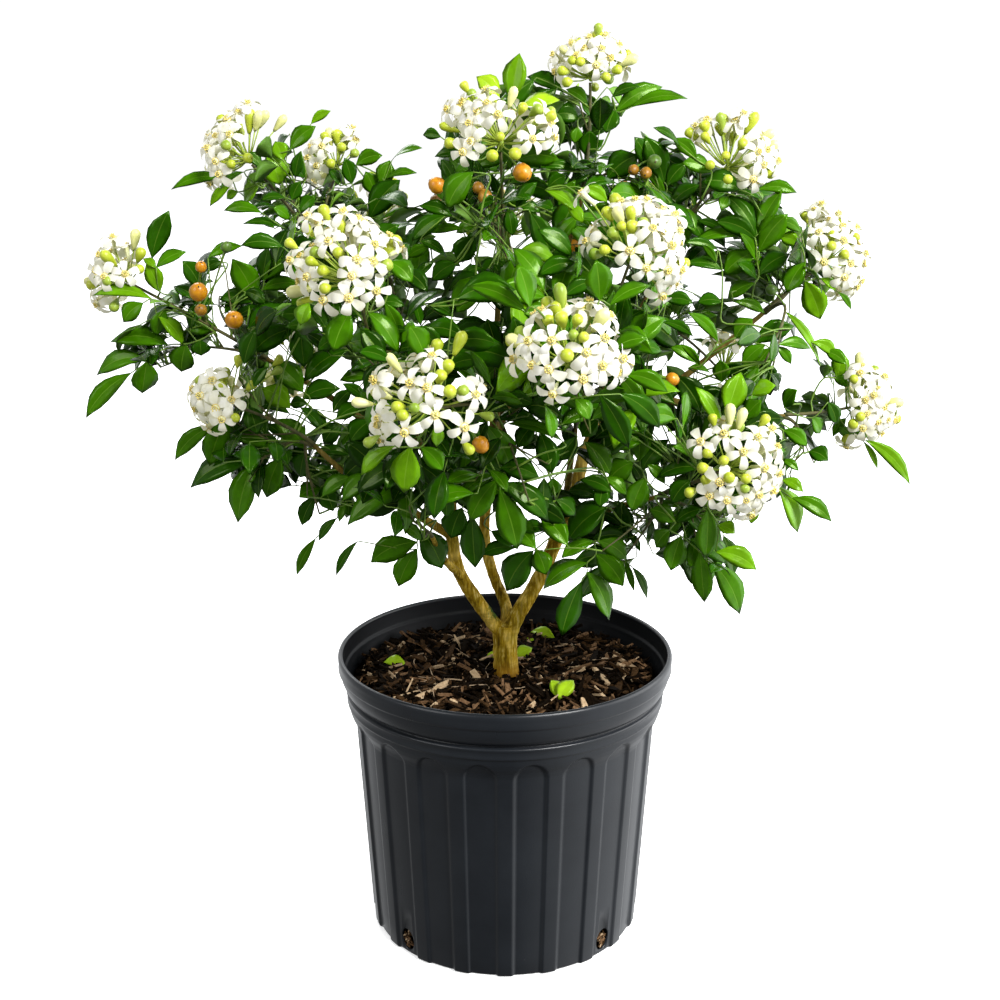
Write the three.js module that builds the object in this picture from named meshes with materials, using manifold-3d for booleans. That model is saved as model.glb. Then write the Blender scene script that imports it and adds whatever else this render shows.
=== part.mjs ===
// Potted orange jasmine: a flowering shrub in a round nursery pot.
// Millimetres, +Z up. The origin is the centre of the pot's flat underside, and -Y is the front.
// A short trunk forks into three stems, the stems carry boughs, and the tip of each bough carries
// masses of foliage. Each mass is one solid: a leading twig, side twigs with leaves, a head of
// white blossom and, on some, orange fruit.

import * as THREE from "three";
import { mergeVertices } from "three/addons/utils/BufferGeometryUtils.js";
import Module from "manifold-3d";

const wasm = await Module();
wasm.setup();

// Pot
const POT_HEIGHT = 241;
const POT_FACETS = 40;
const FOOT_RADIUS = 115.2;
const SHOULDER_RADIUS = 126.5;
const SHOULDER_HEIGHT = 182;
const COLLAR_RADIUS = 132.5;
const COLLAR_FOOT = 199;
const COLLAR_TOP = 211;
const GROOVE_RADIUS = 131.1;
const LIP_RADIUS = 140;
const LIP_FOOT_RADIUS = 133.7;
const LIP_INNER_RADIUS = 136;
const LEDGE_HEIGHT = 225;
const WALL = 3.6;
const FLOOR = 3;
const FLUTES = 20;
const FLUTE_DEPTH = 1.9;
const FLUTE_TOP = 195;
const FLUTE_HALF_WIDTH = 14;
const FLUTE_FOOT_HALF_WIDTH = 12.6;
const FLUTE_SIDE = 0.9;
const INNER_SHOULDER = 197;
const DRAIN_ANGLES = [45, 135, 225, 315];
const DRAIN_HEIGHT = 13.7;
const DRAIN_HALF_WIDTH = 7.5;
const DRAIN_HALF_HEIGHT = 10.2;

// Soil
const SOIL_FACETS = 20;
const SOIL_TOP = 218;
const SOIL_EDGE_DROP = 3.5;
const SOIL_RIPPLE = 1.6;
const SOIL_FLAT_RADIUS = 24;

// Gap between neighbouring pieces
const GAP = 0.3;
const CUT_GAP = 0.36;

// Trunk
const TRUNK_RADIUS = 10.2;
const FLARE_RADIUS = 14.5;
const FORK_HEIGHT = 262;

// Crown
const CROWN_CENTRE = new THREE.Vector3(0, 5, 455);
const CROWN_REACH = new THREE.Vector3(330, 280, 268);
const LOWEST_LEAF = 276;
const GOLDEN_ANGLE = THREE.MathUtils.degToRad(137.5);
const GOLDEN_SHARE = 0.618;

// Leading and side twigs
const LEADER_RADIUS = 1.65;
const LEADER_TIP_RADIUS = 1.5;
const LEADER_SIDES = 4;
const LEADER_STEPS = 4;
const LEADER_BEND = 0.34;
const SLOT_RADIUS = 2.15;
const SITE_SHARE = 0.72;
const SITE_WEIGHT = 3;
const TWIG_RADIUS = 1.05;
const NECK = 3.6;
const NODE_LENGTH = 3.4;
const NODE_SPACING = 26;
const PETIOLE = 14;

// Leaves
const LEAF_LENGTH = 61;
const SMALL_LEAF_LENGTH = 42;
const LEAF_WIDTH_SHARE = 0.45;
const LEAF_WIDEST = 0.44;
const LEAF_THICKNESS = 1.6;
const LEAF_FOLD = 0.07;
const LEAF_DROOP = 0.1;
const TOUCH_VOLUME = 0.5;
const SLIVER_VOLUME = 0.001;
const CROSSING_VOLUME = 2;
const FEWEST_LEAVES = 3;
const MOST_TRIES = 110;
const PLACE_STEP = 3;
const END_REACH = 45;
const BLOOM_ROOTS = [0.25, 0.75];
const PLAIN_ROOTS = [0.4, 0.9];

// Blossom and fruit
const FLOWER_RADIUS = 12.6;
const FLOWER_CUP = 6;
const PETALS = 5;
const KNOB_RADIUS = 7;
const KNOB_RISE = 0.12;
const HEAD_DEPTH = 0.45;
const FLOWER_SPREAD = 80;
const FRUIT_RADIUS = 7.2;

const colours = {
  plastic: 0x2b2f34,
  soil: 0x3a2a20,
  bark: 0xa98d5e,
  leaf: 0x2f6b22,
};

const plastic = new THREE.MeshStandardMaterial({ color: colours.plastic, roughness: 0.55, metalness: 0 });
const soilMix = new THREE.MeshStandardMaterial({ color: colours.soil, roughness: 0.95, metalness: 0 });
const bark = new THREE.MeshStandardMaterial({ color: colours.bark, roughness: 0.85, metalness: 0 });
const foliage = new THREE.MeshStandardMaterial({ color: colours.leaf, roughness: 0.4, metalness: 0 });

const plant = new THREE.Group();

const vec = (x, y, z) => new THREE.Vector3(x, y, z);
const toVec = (numbers) => new THREE.Vector3(...numbers);
const radians = THREE.MathUtils.degToRad;

// A repeatable random number source, from 0 up to 1.
function randomFrom(seed) {
  let state = seed >>> 0;
  return () => {
    state = (state + 0x6d2b79f5) >>> 0;
    let mixed = Math.imul(state ^ (state >>> 15), state | 1);
    mixed ^= mixed + Math.imul(mixed ^ (mixed >>> 7), mixed | 61);
    return ((mixed ^ (mixed >>> 14)) >>> 0) / 4294967296;
  };
}

// A geometry's closed surface as a solid.
function solidOf(geometry, weld = 1e-4) {
  const loose = geometry.index ? geometry.toNonIndexed() : geometry;
  const bare = new THREE.BufferGeometry().setAttribute("position", loose.getAttribute("position"));
  const merged = mergeVertices(bare, weld);
  const corners = merged.index.array;
  const kept = [];
  for (let i = 0; i < corners.length; i += 3) {
    const [a, b, c] = corners.subarray(i, i + 3);
    if (a !== b && b !== c && c !== a) kept.push(a, b, c);
  }
  return new wasm.Manifold(
    new wasm.Mesh({
      numProp: 3,
      vertProperties: merged.attributes.position.array,
      triVerts: new Uint32Array(kept),
    }),
  );
}

function geometryOf(solid) {
  const mesh = solid.getMesh();
  const position = new Float32Array(mesh.numVert * 3);
  for (let i = 0; i < mesh.numVert; i++) {
    const start = i * mesh.numProp;
    position.set(mesh.vertProperties.subarray(start, start + 3), i * 3);
  }
  return new THREE.BufferGeometry()
    .setAttribute("position", new THREE.BufferAttribute(position, 3))
    .setIndex(new THREE.BufferAttribute(mesh.triVerts, 1));
}

// A shape is a closed surface, held as its corners and the triangles between them.
function shapeSolid({ corners, triangles }) {
  const position = new THREE.Float32BufferAttribute(corners.flatMap((corner) => corner.toArray()), 3);
  return solidOf(new THREE.BufferGeometry().setAttribute("position", position).setIndex(triangles.flat()));
}

function shapeOf(geometry) {
  const bare = new THREE.BufferGeometry().setAttribute("position", geometry.getAttribute("position"));
  const { attributes, index } = mergeVertices(bare, 1e-4);
  const corners = Array.from({ length: attributes.position.count }, (_, i) =>
    new THREE.Vector3().fromBufferAttribute(attributes.position, i),
  );
  const triangles = [];
  for (let i = 0; i < index.count; i += 3) triangles.push([...index.array.subarray(i, i + 3)]);
  return { corners, triangles };
}

// Walls between two rings of corners, both counter-clockwise round an axis that leaves the inner ring.
function bridge(shape, inner, outer, middle, axis) {
  const across = (Math.abs(axis.z) < 0.9 ? vec(0, 0, 1) : vec(1, 0, 0)).cross(axis).normalize();
  const third = axis.clone().cross(across);
  const turnOf = (index) => {
    const away = shape.corners[index].clone().sub(middle);
    return Math.atan2(away.dot(third), away.dot(across));
  };
  const wrap = (turn) => turn - 2 * Math.PI * Math.round(turn / (2 * Math.PI));
  const start = turnOf(inner[0]);
  const misses = outer.map((index) => Math.abs(wrap(turnOf(index) - start)));
  const shift = misses.indexOf(Math.min(...misses));
  const ring = [...outer.slice(shift), ...outer.slice(0, shift)];
  const unrolled = (corners) => {
    const turns = [wrap(turnOf(corners[0]) - start)];
    for (let i = 1; i <= corners.length; i++) {
      const step = wrap(turnOf(corners[i % corners.length]) - turnOf(corners[i - 1]));
      turns.push(turns[i - 1] + (step < 0 ? step + 2 * Math.PI : step));
    }
    return turns;
  };
  const innerTurns = unrolled(inner);
  const outerTurns = unrolled(ring);
  let i = 0;
  let j = 0;
  while (i < inner.length || j < ring.length) {
    const a = inner[i % inner.length];
    const b = ring[j % ring.length];
    if (j >= ring.length || (i < inner.length && innerTurns[i + 1] < outerTurns[j + 1])) {
      i += 1;
      shape.triangles.push([a, inner[i % inner.length], b]);
    } else {
      j += 1;
      shape.triangles.push([a, ring[j % ring.length], b]);
    }
  }
}

function addCorners(shape, corners) {
  const first = shape.corners.length;
  shape.corners.push(...corners);
  return corners.map((_, i) => first + i);
}

// Closes a ring of corners to one corner.
function closeRing(shape, ring, corner) {
  const [peak] = addCorners(shape, [corner]);
  ring.forEach((index, i) => shape.triangles.push([index, ring[(i + 1) % ring.length], peak]));
}

// The largest body of a solid, with loose scraps dropped and sealed hollows filled.
function mainBody(solid) {
  const bodies = solid.decompose();
  return bodies.reduce((best, body) => (body.volume() > best.volume() ? body : best));
}

// The join of many solids, in pairs, so that each step stays small.
function joined(solids) {
  let row = solids;
  while (row.length > 1) {
    const next = [];
    for (let i = 0; i < row.length; i += 2) next.push(i + 1 < row.length ? row[i].add(row[i + 1]) : row[i]);
    row = next;
  }
  return row[0];
}

function addPiece(name, solid, material) {
  const mesh = new THREE.Mesh(geometryOf(solid), material);
  mesh.name = name;
  plant.add(mesh);
}

// A closed tube through points, with a radius at each one.
function taperedTube(points, radii, sides) {
  const corners = [];
  const triangles = [];
  let across = null;
  points.forEach((point, i) => {
    const before = points[Math.max(i - 1, 0)];
    const after = points[Math.min(i + 1, points.length - 1)];
    const along = after.clone().sub(before).normalize();
    if (!across) across = Math.abs(along.z) < 0.9 ? vec(0, 0, 1) : vec(1, 0, 0);
    across = across.clone().addScaledVector(along, -across.dot(along)).normalize();
    const third = along.clone().cross(across);
    for (let k = 0; k < sides; k++) {
      const turn = (k / sides) * 2 * Math.PI;
      corners.push(
        point
          .clone()
          .addScaledVector(across, Math.cos(turn) * radii[i])
          .addScaledVector(third, Math.sin(turn) * radii[i]),
      );
    }
  });
  for (let i = 0; i + 1 < points.length; i++) {
    for (let k = 0; k < sides; k++) {
      const a = i * sides + k;
      const b = i * sides + ((k + 1) % sides);
      triangles.push([a, b, b + sides], [a, b + sides, a + sides]);
    }
  }
  const last = (points.length - 1) * sides;
  for (let k = 1; k + 1 < sides; k++) triangles.push([0, k + 1, k], [last, last + k, last + k + 1]);
  return { corners, triangles };
}

// Pot: a tapered wall with round-topped flutes, a shoulder, a collar band, a groove and a rolled lip.
const collarProfile = [
  [COLLAR_RADIUS, COLLAR_FOOT],
  [COLLAR_RADIUS, COLLAR_TOP - 2],
  [GROOVE_RADIUS, COLLAR_TOP],
  [LIP_FOOT_RADIUS, COLLAR_TOP + 2],
  [LIP_RADIUS - 2.2, 222],
  [LIP_RADIUS, 232],
  [LIP_RADIUS, POT_HEIGHT - 1.8],
  [LIP_RADIUS - 1.5, POT_HEIGHT],
  [LIP_INNER_RADIUS, POT_HEIGHT],
  [LIP_INNER_RADIUS - 0.8, LEDGE_HEIGHT + 2],
  [LIP_INNER_RADIUS - 2.6, LEDGE_HEIGHT],
  [COLLAR_RADIUS - WALL, COLLAR_TOP],
  [straightRadius(INNER_SHOULDER) - WALL, INNER_SHOULDER],
  [FOOT_RADIUS - WALL, FLOOR],
];

// The wall's radius at a height, below the shoulder and carried straight on above it.
function straightRadius(height) {
  return FOOT_RADIUS + ((SHOULDER_RADIUS - FOOT_RADIUS) * height) / SHOULDER_HEIGHT;
}

// The wall's radius at a height, with the flare above the shoulder.
function wallRadius(height) {
  const flare = Math.max(0, (height - SHOULDER_HEIGHT) / (COLLAR_FOOT - SHOULDER_HEIGHT));
  return straightRadius(height) + flare * (COLLAR_RADIUS - straightRadius(COLLAR_FOOT));
}

const polar = (radius, angle, height) => vec(radius * Math.cos(angle), radius * Math.sin(angle), height);

function plainRing(shape, radius, height) {
  return addCorners(
    shape,
    Array.from({ length: POT_FACETS }, (_, i) => polar(radius, (i / POT_FACETS) * 2 * Math.PI, height)),
  );
}

// A ring of corners in the fluted part: each flute has two edges on the wall and a sunken floor.
function flutedRing(shape, height) {
  const archFoot = FLUTE_TOP - FLUTE_HALF_WIDTH;
  const widening = Math.min(height / archFoot, 1);
  const rise = Math.max(0, (height - archFoot) / FLUTE_HALF_WIDTH);
  const straight = THREE.MathUtils.lerp(FLUTE_FOOT_HALF_WIDTH, FLUTE_HALF_WIDTH, widening);
  const half = straight * Math.sqrt(Math.max(0.02, 1 - rise * rise));
  const radius = wallRadius(height);
  const floor = rise < 1 ? straightRadius(height) - FLUTE_DEPTH : radius;
  const corners = [];
  for (let i = 0; i < FLUTES; i++) {
    const middle = ((i + 0.5) / FLUTES) * 2 * Math.PI;
    const edge = half / radius;
    corners.push(polar(radius, middle - edge, height), polar(floor, middle - FLUTE_SIDE * edge, height));
    corners.push(polar(floor, middle + FLUTE_SIDE * edge, height), polar(radius, middle + edge, height));
  }
  return addCorners(shape, corners);
}

// Walls between two rings with the same number of corners.
function walls(shape, inner, outer) {
  inner.forEach((corner, k) => {
    const next = (k + 1) % inner.length;
    shape.triangles.push([corner, inner[next], outer[next]], [corner, outer[next], outer[k]]);
  });
}

// A drainage hole's cutter, right through the sloping wall.
function drainCutter(angle) {
  const oval = new THREE.Shape();
  oval.absellipse(0, DRAIN_HEIGHT, DRAIN_HALF_WIDTH, DRAIN_HALF_HEIGHT, 0, 2 * Math.PI);
  const cutter = new THREE.ExtrudeGeometry(oval, { depth: 30, bevelEnabled: false, curveSegments: 5 });
  const outward = polar(1, angle, 0);
  const round = polar(1, angle + Math.PI / 2, 0);
  const frame = new THREE.Matrix4().makeBasis(round, vec(0, 0, 1), outward);
  return solidOf(cutter.applyMatrix4(frame.setPosition(outward.multiplyScalar(FOOT_RADIUS - 15))));
}

function makePot() {
  const shape = { corners: [], triangles: [] };
  const archFoot = FLUTE_TOP - FLUTE_HALF_WIDTH;
  const heights = [0, archFoot, ...[0.5, 0.86, 1].map((share) => archFoot + share * FLUTE_HALF_WIDTH)];
  const fluted = heights.map((height) => flutedRing(shape, height));
  closeRing(shape, [...fluted[0]].reverse(), vec(0, 0, 0));
  for (let i = 1; i < fluted.length; i++) walls(shape, fluted[i - 1], fluted[i]);
  const plain = collarProfile.map(([radius, height]) => plainRing(shape, radius, height));
  bridge(shape, fluted[fluted.length - 1], plain[0], vec(0, 0, FLUTE_TOP), vec(0, 0, 1));
  for (let i = 1; i < plain.length; i++) walls(shape, plain[i - 1], plain[i]);
  closeRing(shape, plain[plain.length - 1], vec(0, 0, FLOOR));
  let pot = shapeSolid(shape);
  for (const angle of DRAIN_ANGLES) pot = pot.subtract(drainCutter(radians(angle)));
  return mainBody(pot);
}

// Soil: fills the pot to below its rim, gently rippled on top and level round the trunk.
function makeSoil() {
  const clear = WALL + GAP + 0.15;
  const ripple = (radius, angle) => Math.sin(5 * angle + radius) * Math.cos(3 * angle - 0.7 * radius);
  const shape = { corners: [], triangles: [] };
  const ring = (radius, height, wave) =>
    addCorners(
      shape,
      Array.from({ length: SOIL_FACETS }, (_, i) => {
        const angle = (i / SOIL_FACETS) * 2 * Math.PI;
        return polar(radius, angle, height + wave * ripple(radius, angle));
      }),
    );
  const rings = [
    ring(FOOT_RADIUS - clear, FLOOR + GAP, 0),
    ring(straightRadius(INNER_SHOULDER) - clear, INNER_SHOULDER, 0),
    ring(COLLAR_RADIUS - clear, COLLAR_TOP, 0),
    ...[124, 96, 64].map((radius) => ring(radius, SOIL_TOP - SOIL_EDGE_DROP * (radius / 128) ** 4, SOIL_RIPPLE)),
    ring(SOIL_FLAT_RADIUS, SOIL_TOP, 0),
  ];
  closeRing(shape, [...rings[0]].reverse(), vec(0, 0, FLOOR + GAP));
  for (let i = 1; i < rings.length; i++) walls(shape, rings[i - 1], rings[i]);
  closeRing(shape, rings[rings.length - 1], vec(0, 0, SOIL_TOP));
  return shapeSolid(shape);
}

// Limbs: each is one tapering tube through a few points, from its parent's middle to its tip.
const limbs = [
  {
    name: "trunk",
    points: [[1.2, 0, 214], [1, 0, 220], [0.6, 0, 229], [0, 0, 242], [0, 0, FORK_HEIGHT]],
    radii: [FLARE_RADIUS + 1.5, FLARE_RADIUS, 11.2, TRUNK_RADIUS, 10.8],
    sides: 10,
  },
  {
    name: "stem_left",
    points: [[0, 0, 250], [-14, -5, 271], [-38, -15, 314], [-43, -20, 345], [-44, -22, 380]],
    radii: [6.6, 6, 5.6, 5.3, 5],
  },
  {
    name: "stem_middle",
    points: [[0, 2, 252], [1, 8, 272], [-11, 15, 304], [-17, 20, 333], [-14, 13, 385], [-8, 5, 440]],
    radii: [5, 4.9, 4.7, 4.6, 4.4, 4.1],
  },
  {
    name: "stem_right",
    points: [[1, 0, 248], [11, 1, 271], [27, 5, 298], [48, 10, 347], [58, 12, 377], [66, 16, 410]],
    radii: [7.4, 6.8, 6.4, 5.9, 5.6, 5.2],
  },
  { name: "bough_left", points: [[-44, -22, 378], [-90, -25, 425], [-145, -15, 463], [-190, -5, 488]] },
  { name: "bough_left_low", points: [[-43, -20, 345], [-80, -42, 376], [-118, -58, 403], [-148, -62, 432]] },
  { name: "bough_left_front", points: [[-44, -22, 379], [-62, -58, 425], [-84, -98, 478]] },
  { name: "bough_upper_left", points: [[-44, -21, 379], [-72, 4, 450], [-112, 22, 520], [-140, 36, 560]] },
  { name: "bough_middle", points: [[-8, 5, 438], [-7, 1, 500], [-4, -9, 562]] },
  { name: "bough_top", points: [[-11, 9, 412], [18, 20, 488], [46, 32, 560], [62, 40, 612]] },
  { name: "bough_front", points: [[-15, 14, 374], [-12, -48, 416], [-8, -108, 462]] },
  { name: "bough_front_right", points: [[51, 10, 356], [50, -42, 404], [52, -100, 456]] },
  { name: "bough_right", points: [[66, 16, 408], [108, 6, 442], [162, 0, 488], [206, 3, 524]] },
  { name: "bough_upper_right", points: [[66, 16, 409], [86, 10, 474], [114, 2, 540], [134, 0, 584]] },
  { name: "bough_right_low", points: [[47, 10, 345], [84, -46, 376], [116, -96, 400]] },
  { name: "bough_right_far", points: [[122, 4, 454], [174, -14, 446], [222, -18, 444]] },
  { name: "bough_back_left", points: [[-14, 13, 386], [-50, 70, 440], [-84, 122, 482]] },
  { name: "bough_back", points: [[-9, 6, 432], [0, 66, 480], [8, 130, 512]] },
  { name: "bough_back_right", points: [[64, 15, 403], [96, 72, 452], [124, 118, 492]] },
  { name: "bough_low_front", points: [[-35, -14, 308], [-50, -52, 338], [-56, -88, 366]] },
];
const BOUGH_RADIUS = 3.9;
const BOUGH_TIP_RADIUS = 3.1;
const LIMB_STEP = 42;

for (const limb of limbs) {
  const curve = new THREE.CatmullRomCurve3(limb.points.map(toVec));
  const steps = Math.max(3, Math.round(curve.getLength() / LIMB_STEP));
  const radii = limb.radii ?? [BOUGH_RADIUS, BOUGH_TIP_RADIUS];
  limb.curve = curve;
  limb.radiusAt = (share) => {
    const place = share * (radii.length - 1);
    const before = Math.min(Math.floor(place), radii.length - 2);
    return THREE.MathUtils.lerp(radii[before], radii[before + 1], place - before);
  };
  limb.shares = Array.from({ length: steps + 1 }, (_, i) => i / steps);
  limb.sides ??= limb.radii ? 7 : 5;
}

// A limb's tube, made wider and longer by a margin.
function limbTube(limb, margin) {
  const points = limb.shares.map((share) => limb.curve.getPoint(share));
  const radii = limb.shares.map((share) => limb.radiusAt(share) + margin);
  const ends = [limb.curve.getTangent(0).negate(), limb.curve.getTangent(1)];
  points[0].addScaledVector(ends[0], margin);
  points[points.length - 1].addScaledVector(ends[1], margin);
  return shapeSolid(taperedTube(points, radii, limb.sides));
}

// Each limb is cut back by the limbs made before it, so that it ends a gap clear of its parent. The
// trunk is cut flat a gap above the soil.
function makeLimbs() {
  const ground = new THREE.BoxGeometry(60, 60, 20).translate(0, 0, SOIL_TOP + GAP - 10);
  const made = [{ wide: solidOf(ground) }];
  for (const limb of limbs) {
    let solid = limbTube(limb, 0);
    for (const { wide } of made) {
      if (solid.intersect(wide).volume() > 0) solid = mainBody(solid.subtract(wide));
    }
    made.push({ wide: limbTube(limb, CUT_GAP) });
    addPiece(limb.name, solid, bark);
  }
}

// Masses of foliage. Each has the bough that carries it, the middle of its head of blossom or the end
// of its leading twig, the head's radius where it has one, how many leaves it should have, the tips of
// the sprays that mark the crown's outline, and its fruit.
const masses = [
  { name: "top", bough: "bough_top", at: [69, 45, 712], bloom: 31, leaves: 10,
    outline: [[125, 60, 696], [146, 70, 687]] },
  { name: "upper_centre", bough: "bough_middle", at: [-4, -60, 668], bloom: 41, leaves: 12,
    outline: [[8, 10, 720], [-21, 5, 703], [35, 12, 690], [-62, -10, 660]],
    fruit: [[12, -78, 635], [-50, -70, 626]] },
  { name: "upper_left", bough: "bough_upper_left", at: [-208, 30, 650], bloom: 36, leaves: 12,
    outline: [[-262, 20, 617], [-232, 20, 602]] },
  { name: "upper_left_inner", bough: "bough_upper_left", at: [-146, 120, 638], bloom: 29, leaves: 10,
    outline: [[-151, 150, 676], [-74, 100, 652], [-76, 90, 628]] },
  { name: "left_far", bough: "bough_left", at: [-307, 15, 553], bloom: 30, leaves: 10,
    outline: [[-266, 20, 600], [-252, 20, 574]],
    fruit: [[-235, -30, 544], [-207, -40, 524]] },
  { name: "left_wing", bough: "bough_left", at: [-285, -2, 494], leaves: 13,
    outline: [[-338, 0, 439], [-330, 0, 477], [-289, 0, 453], [-325, -6, 520]] },
  { name: "left_centre", bough: "bough_left_front", at: [-107, -165, 578], bloom: 40, leaves: 13, outline: [] },
  { name: "left_low", bough: "bough_left_low", at: [-216, -72, 470], bloom: 29, leaves: 11,
    outline: [[-262, -40, 440]] },
  { name: "left_skirt", bough: "bough_left_low", at: [-196, -66, 420], leaves: 10,
    outline: [[-209, -60, 368], [-184, -60, 386], [-240, -60, 396]] },
  { name: "lower_left", bough: "bough_left_low", at: [-146, -48, 372], leaves: 11,
    outline: [[-167, -30, 316], [-137, -20, 315]] },
  { name: "centre_low", bough: "bough_front", at: [-52, -222, 500], bloom: 39, leaves: 13,
    outline: [[-46, -226, 426]] },
  { name: "centre", bough: "bough_front_right", at: [41, -232, 532], bloom: 39, leaves: 13, outline: [] },
  { name: "right_centre", bough: "bough_front_right", at: [90, -140, 590], bloom: 37, leaves: 13, outline: [] },
  { name: "upper_right", bough: "bough_upper_right", at: [176, 0, 645], bloom: 36, leaves: 13,
    outline: [[230, 30, 616]] },
  { name: "right", bough: "bough_right", at: [258, 10, 569], bloom: 35, leaves: 11,
    outline: [[249, 0, 516], [276, 0, 524]] },
  { name: "right_far", bough: "bough_right_far", at: [288, -10, 456], bloom: 32, leaves: 11,
    outline: [[331, -10, 389], [298, -10, 398]] },
  { name: "right_low", bough: "bough_right_low", at: [163, -163, 441], bloom: 37, leaves: 12,
    outline: [[218, -130, 388]] },
  { name: "right_skirt", bough: "bough_right_low", at: [160, -108, 372], leaves: 10,
    outline: [[180, -120, 312], [192, -114, 342], [148, -120, 320]] },
  { name: "lower_right", bough: "bough_right_low", at: [92, -86, 350], leaves: 10,
    outline: [[48, -90, 288], [86, -92, 299], [120, -60, 303]] },
  { name: "right_outer", bough: "bough_right_far", at: [232, -52, 406], leaves: 10,
    outline: [[250, -80, 374], [226, -80, 366]] },
  { name: "right_inner", bough: "bough_right", at: [186, -112, 504], leaves: 12, outline: [] },
  { name: "top_gap", bough: "bough_top", at: [112, 12, 640], leaves: 10, outline: [[119, 30, 663]],
    fruit: [[106, -20, 628], [86, -10, 620]] },
  { name: "core_centre", bough: "bough_middle", at: [-20, -122, 606], leaves: 10, outline: [] },
  { name: "core_low", bough: "bough_front", at: [16, -160, 414], leaves: 10, outline: [[13, -124, 341]] },
  { name: "lower_centre", bough: "bough_low_front", at: [-76, -118, 392], leaves: 12,
    outline: [[-83, -60, 315], [-118, -120, 350], [-36, -118, 344]] },
  { name: "side_left", bough: "bough_left", at: [-250, 130, 520], leaves: 10, outline: [] },
  { name: "side_right", bough: "bough_right", at: [240, 140, 532], leaves: 10, outline: [] },
  { name: "back_upper_left", bough: "bough_back_left", at: [-116, 178, 592], bloom: 35, leaves: 10, outline: [] },
  { name: "back_low_left", bough: "bough_back_left", at: [-190, 150, 460], bloom: 34, leaves: 10, outline: [] },
  { name: "back_skirt_left", bough: "bough_back_left", at: [-96, 150, 390], leaves: 10,
    outline: [[-120, 150, 330]] },
  { name: "back_centre", bough: "bough_back", at: [4, 222, 574], bloom: 38, leaves: 13, outline: [] },
  { name: "back_low", bough: "bough_back", at: [30, 216, 450], leaves: 10, outline: [[20, 190, 350]] },
  { name: "back_right", bough: "bough_back_right", at: [140, 176, 590], bloom: 35, leaves: 10, outline: [] },
  { name: "back_low_right", bough: "bough_back_right", at: [206, 158, 456], bloom: 34, leaves: 10, outline: [] },
  { name: "back_skirt_right", bough: "bough_back_right", at: [118, 150, 386], leaves: 10,
    outline: [[120, 140, 325]] },
  { name: "back_top", bough: "bough_middle", at: [-20, 112, 640], leaves: 10,
    outline: [[-10, 130, 690], [20, 60, 703]] },
];

const unitBetween = (from, to) => to.clone().sub(from).normalize();

// The way a head of blossom faces: out from the crown's middle and up.
function headAxis(middle) {
  return unitBetween(CROWN_CENTRE, middle).multiplyScalar(0.8).add(vec(0, 0, 0.42)).normalize();
}

// The leading twigs leave the end of their bough side by side, in the order in which they part.
function layLeaders() {
  for (const limb of limbs) {
    const carried = masses.filter((mass) => mass.bough === limb.name);
    if (!carried.length) continue;
    const tip = limb.curve.getPoint(1);
    const along = limb.curve.getTangent(1);
    const across = vec(0, 0, 1).addScaledVector(along, -along.z).normalize();
    const third = along.clone().cross(across);
    for (const mass of carried) {
      const away = toVec(mass.at).sub(tip);
      mass.turn = Math.atan2(away.dot(third), away.dot(across));
    }
    carried.sort((one, other) => one.turn - other.turn);
    const slot = (2 * Math.PI) / carried.length;
    const drift = carried.map((mass, i) => mass.turn - i * slot);
    const first = Math.atan2(
      drift.reduce((sum, turn) => sum + Math.sin(turn), 0),
      drift.reduce((sum, turn) => sum + Math.cos(turn), 0),
    );
    carried.forEach((mass, i) => {
      const turn = first + i * slot;
      const offset = carried.length > 1 ? SLOT_RADIUS : 0;
      const start = tip
        .clone()
        .addScaledVector(along, CUT_GAP)
        .addScaledVector(across, Math.cos(turn) * offset)
        .addScaledVector(third, Math.sin(turn) * offset);
      const middle = toVec(mass.at);
      mass.axis = headAxis(middle);
      mass.end = mass.bloom ? middle.clone().addScaledVector(mass.axis, -HEAD_DEPTH * mass.bloom) : middle;
      const bend = start.clone().addScaledVector(along, LEADER_BEND * start.distanceTo(mass.end));
      mass.leader = new THREE.QuadraticBezierCurve3(start, bend, mass.end);
      const tips = mass.outline.map(toVec);
      mass.site = mass.leader.getPoint(SITE_SHARE).multiplyScalar(SITE_WEIGHT);
      for (const point of tips) mass.site.add(point);
      mass.site.divideScalar(SITE_WEIGHT + tips.length);
    });
  }
}

// Round places that a twig or a leaf keeps clear of: every limb, and the leaders of other masses.
function obstaclesFor(mass) {
  const places = [];
  for (const limb of limbs) {
    const count = Math.round(limb.curve.getLength() / PLACE_STEP);
    for (let i = 0; i <= count; i++) {
      places.push({ at: limb.curve.getPoint(i / count), radius: limb.radiusAt(i / count) + GAP });
    }
  }
  for (const other of masses) {
    if (other === mass) continue;
    const count = Math.round(other.leader.getLength() / PLACE_STEP);
    for (let i = 0; i <= count; i++) {
      places.push({ at: other.leader.getPoint(i / count), radius: LEADER_RADIUS + GAP });
    }
  }
  return places;
}

// Whether a point lies in the mass's own space: nearer its own site than any other mass's.
function inOwnSpace(point, mass) {
  if (point.z < LOWEST_LEAF) return false;
  return masses.every((other) => {
    if (other === mass) return true;
    const apart = other.site.clone().sub(mass.site);
    const half = apart.length() / 2;
    return point.clone().sub(mass.site).dot(apart.normalize()) < half - GAP;
  });
}

// Whether a point is inside the crown and no further out than the mass's own head or end.
function inReach(point, mass) {
  const beyond = point.clone().sub(toVec(mass.at)).dot(mass.axis);
  const inCrown = point.clone().sub(CROWN_CENTRE).divide(CROWN_REACH).length() < 1;
  return inCrown && beyond < (mass.bloom ? 0.4 * mass.bloom : END_REACH);
}

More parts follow.
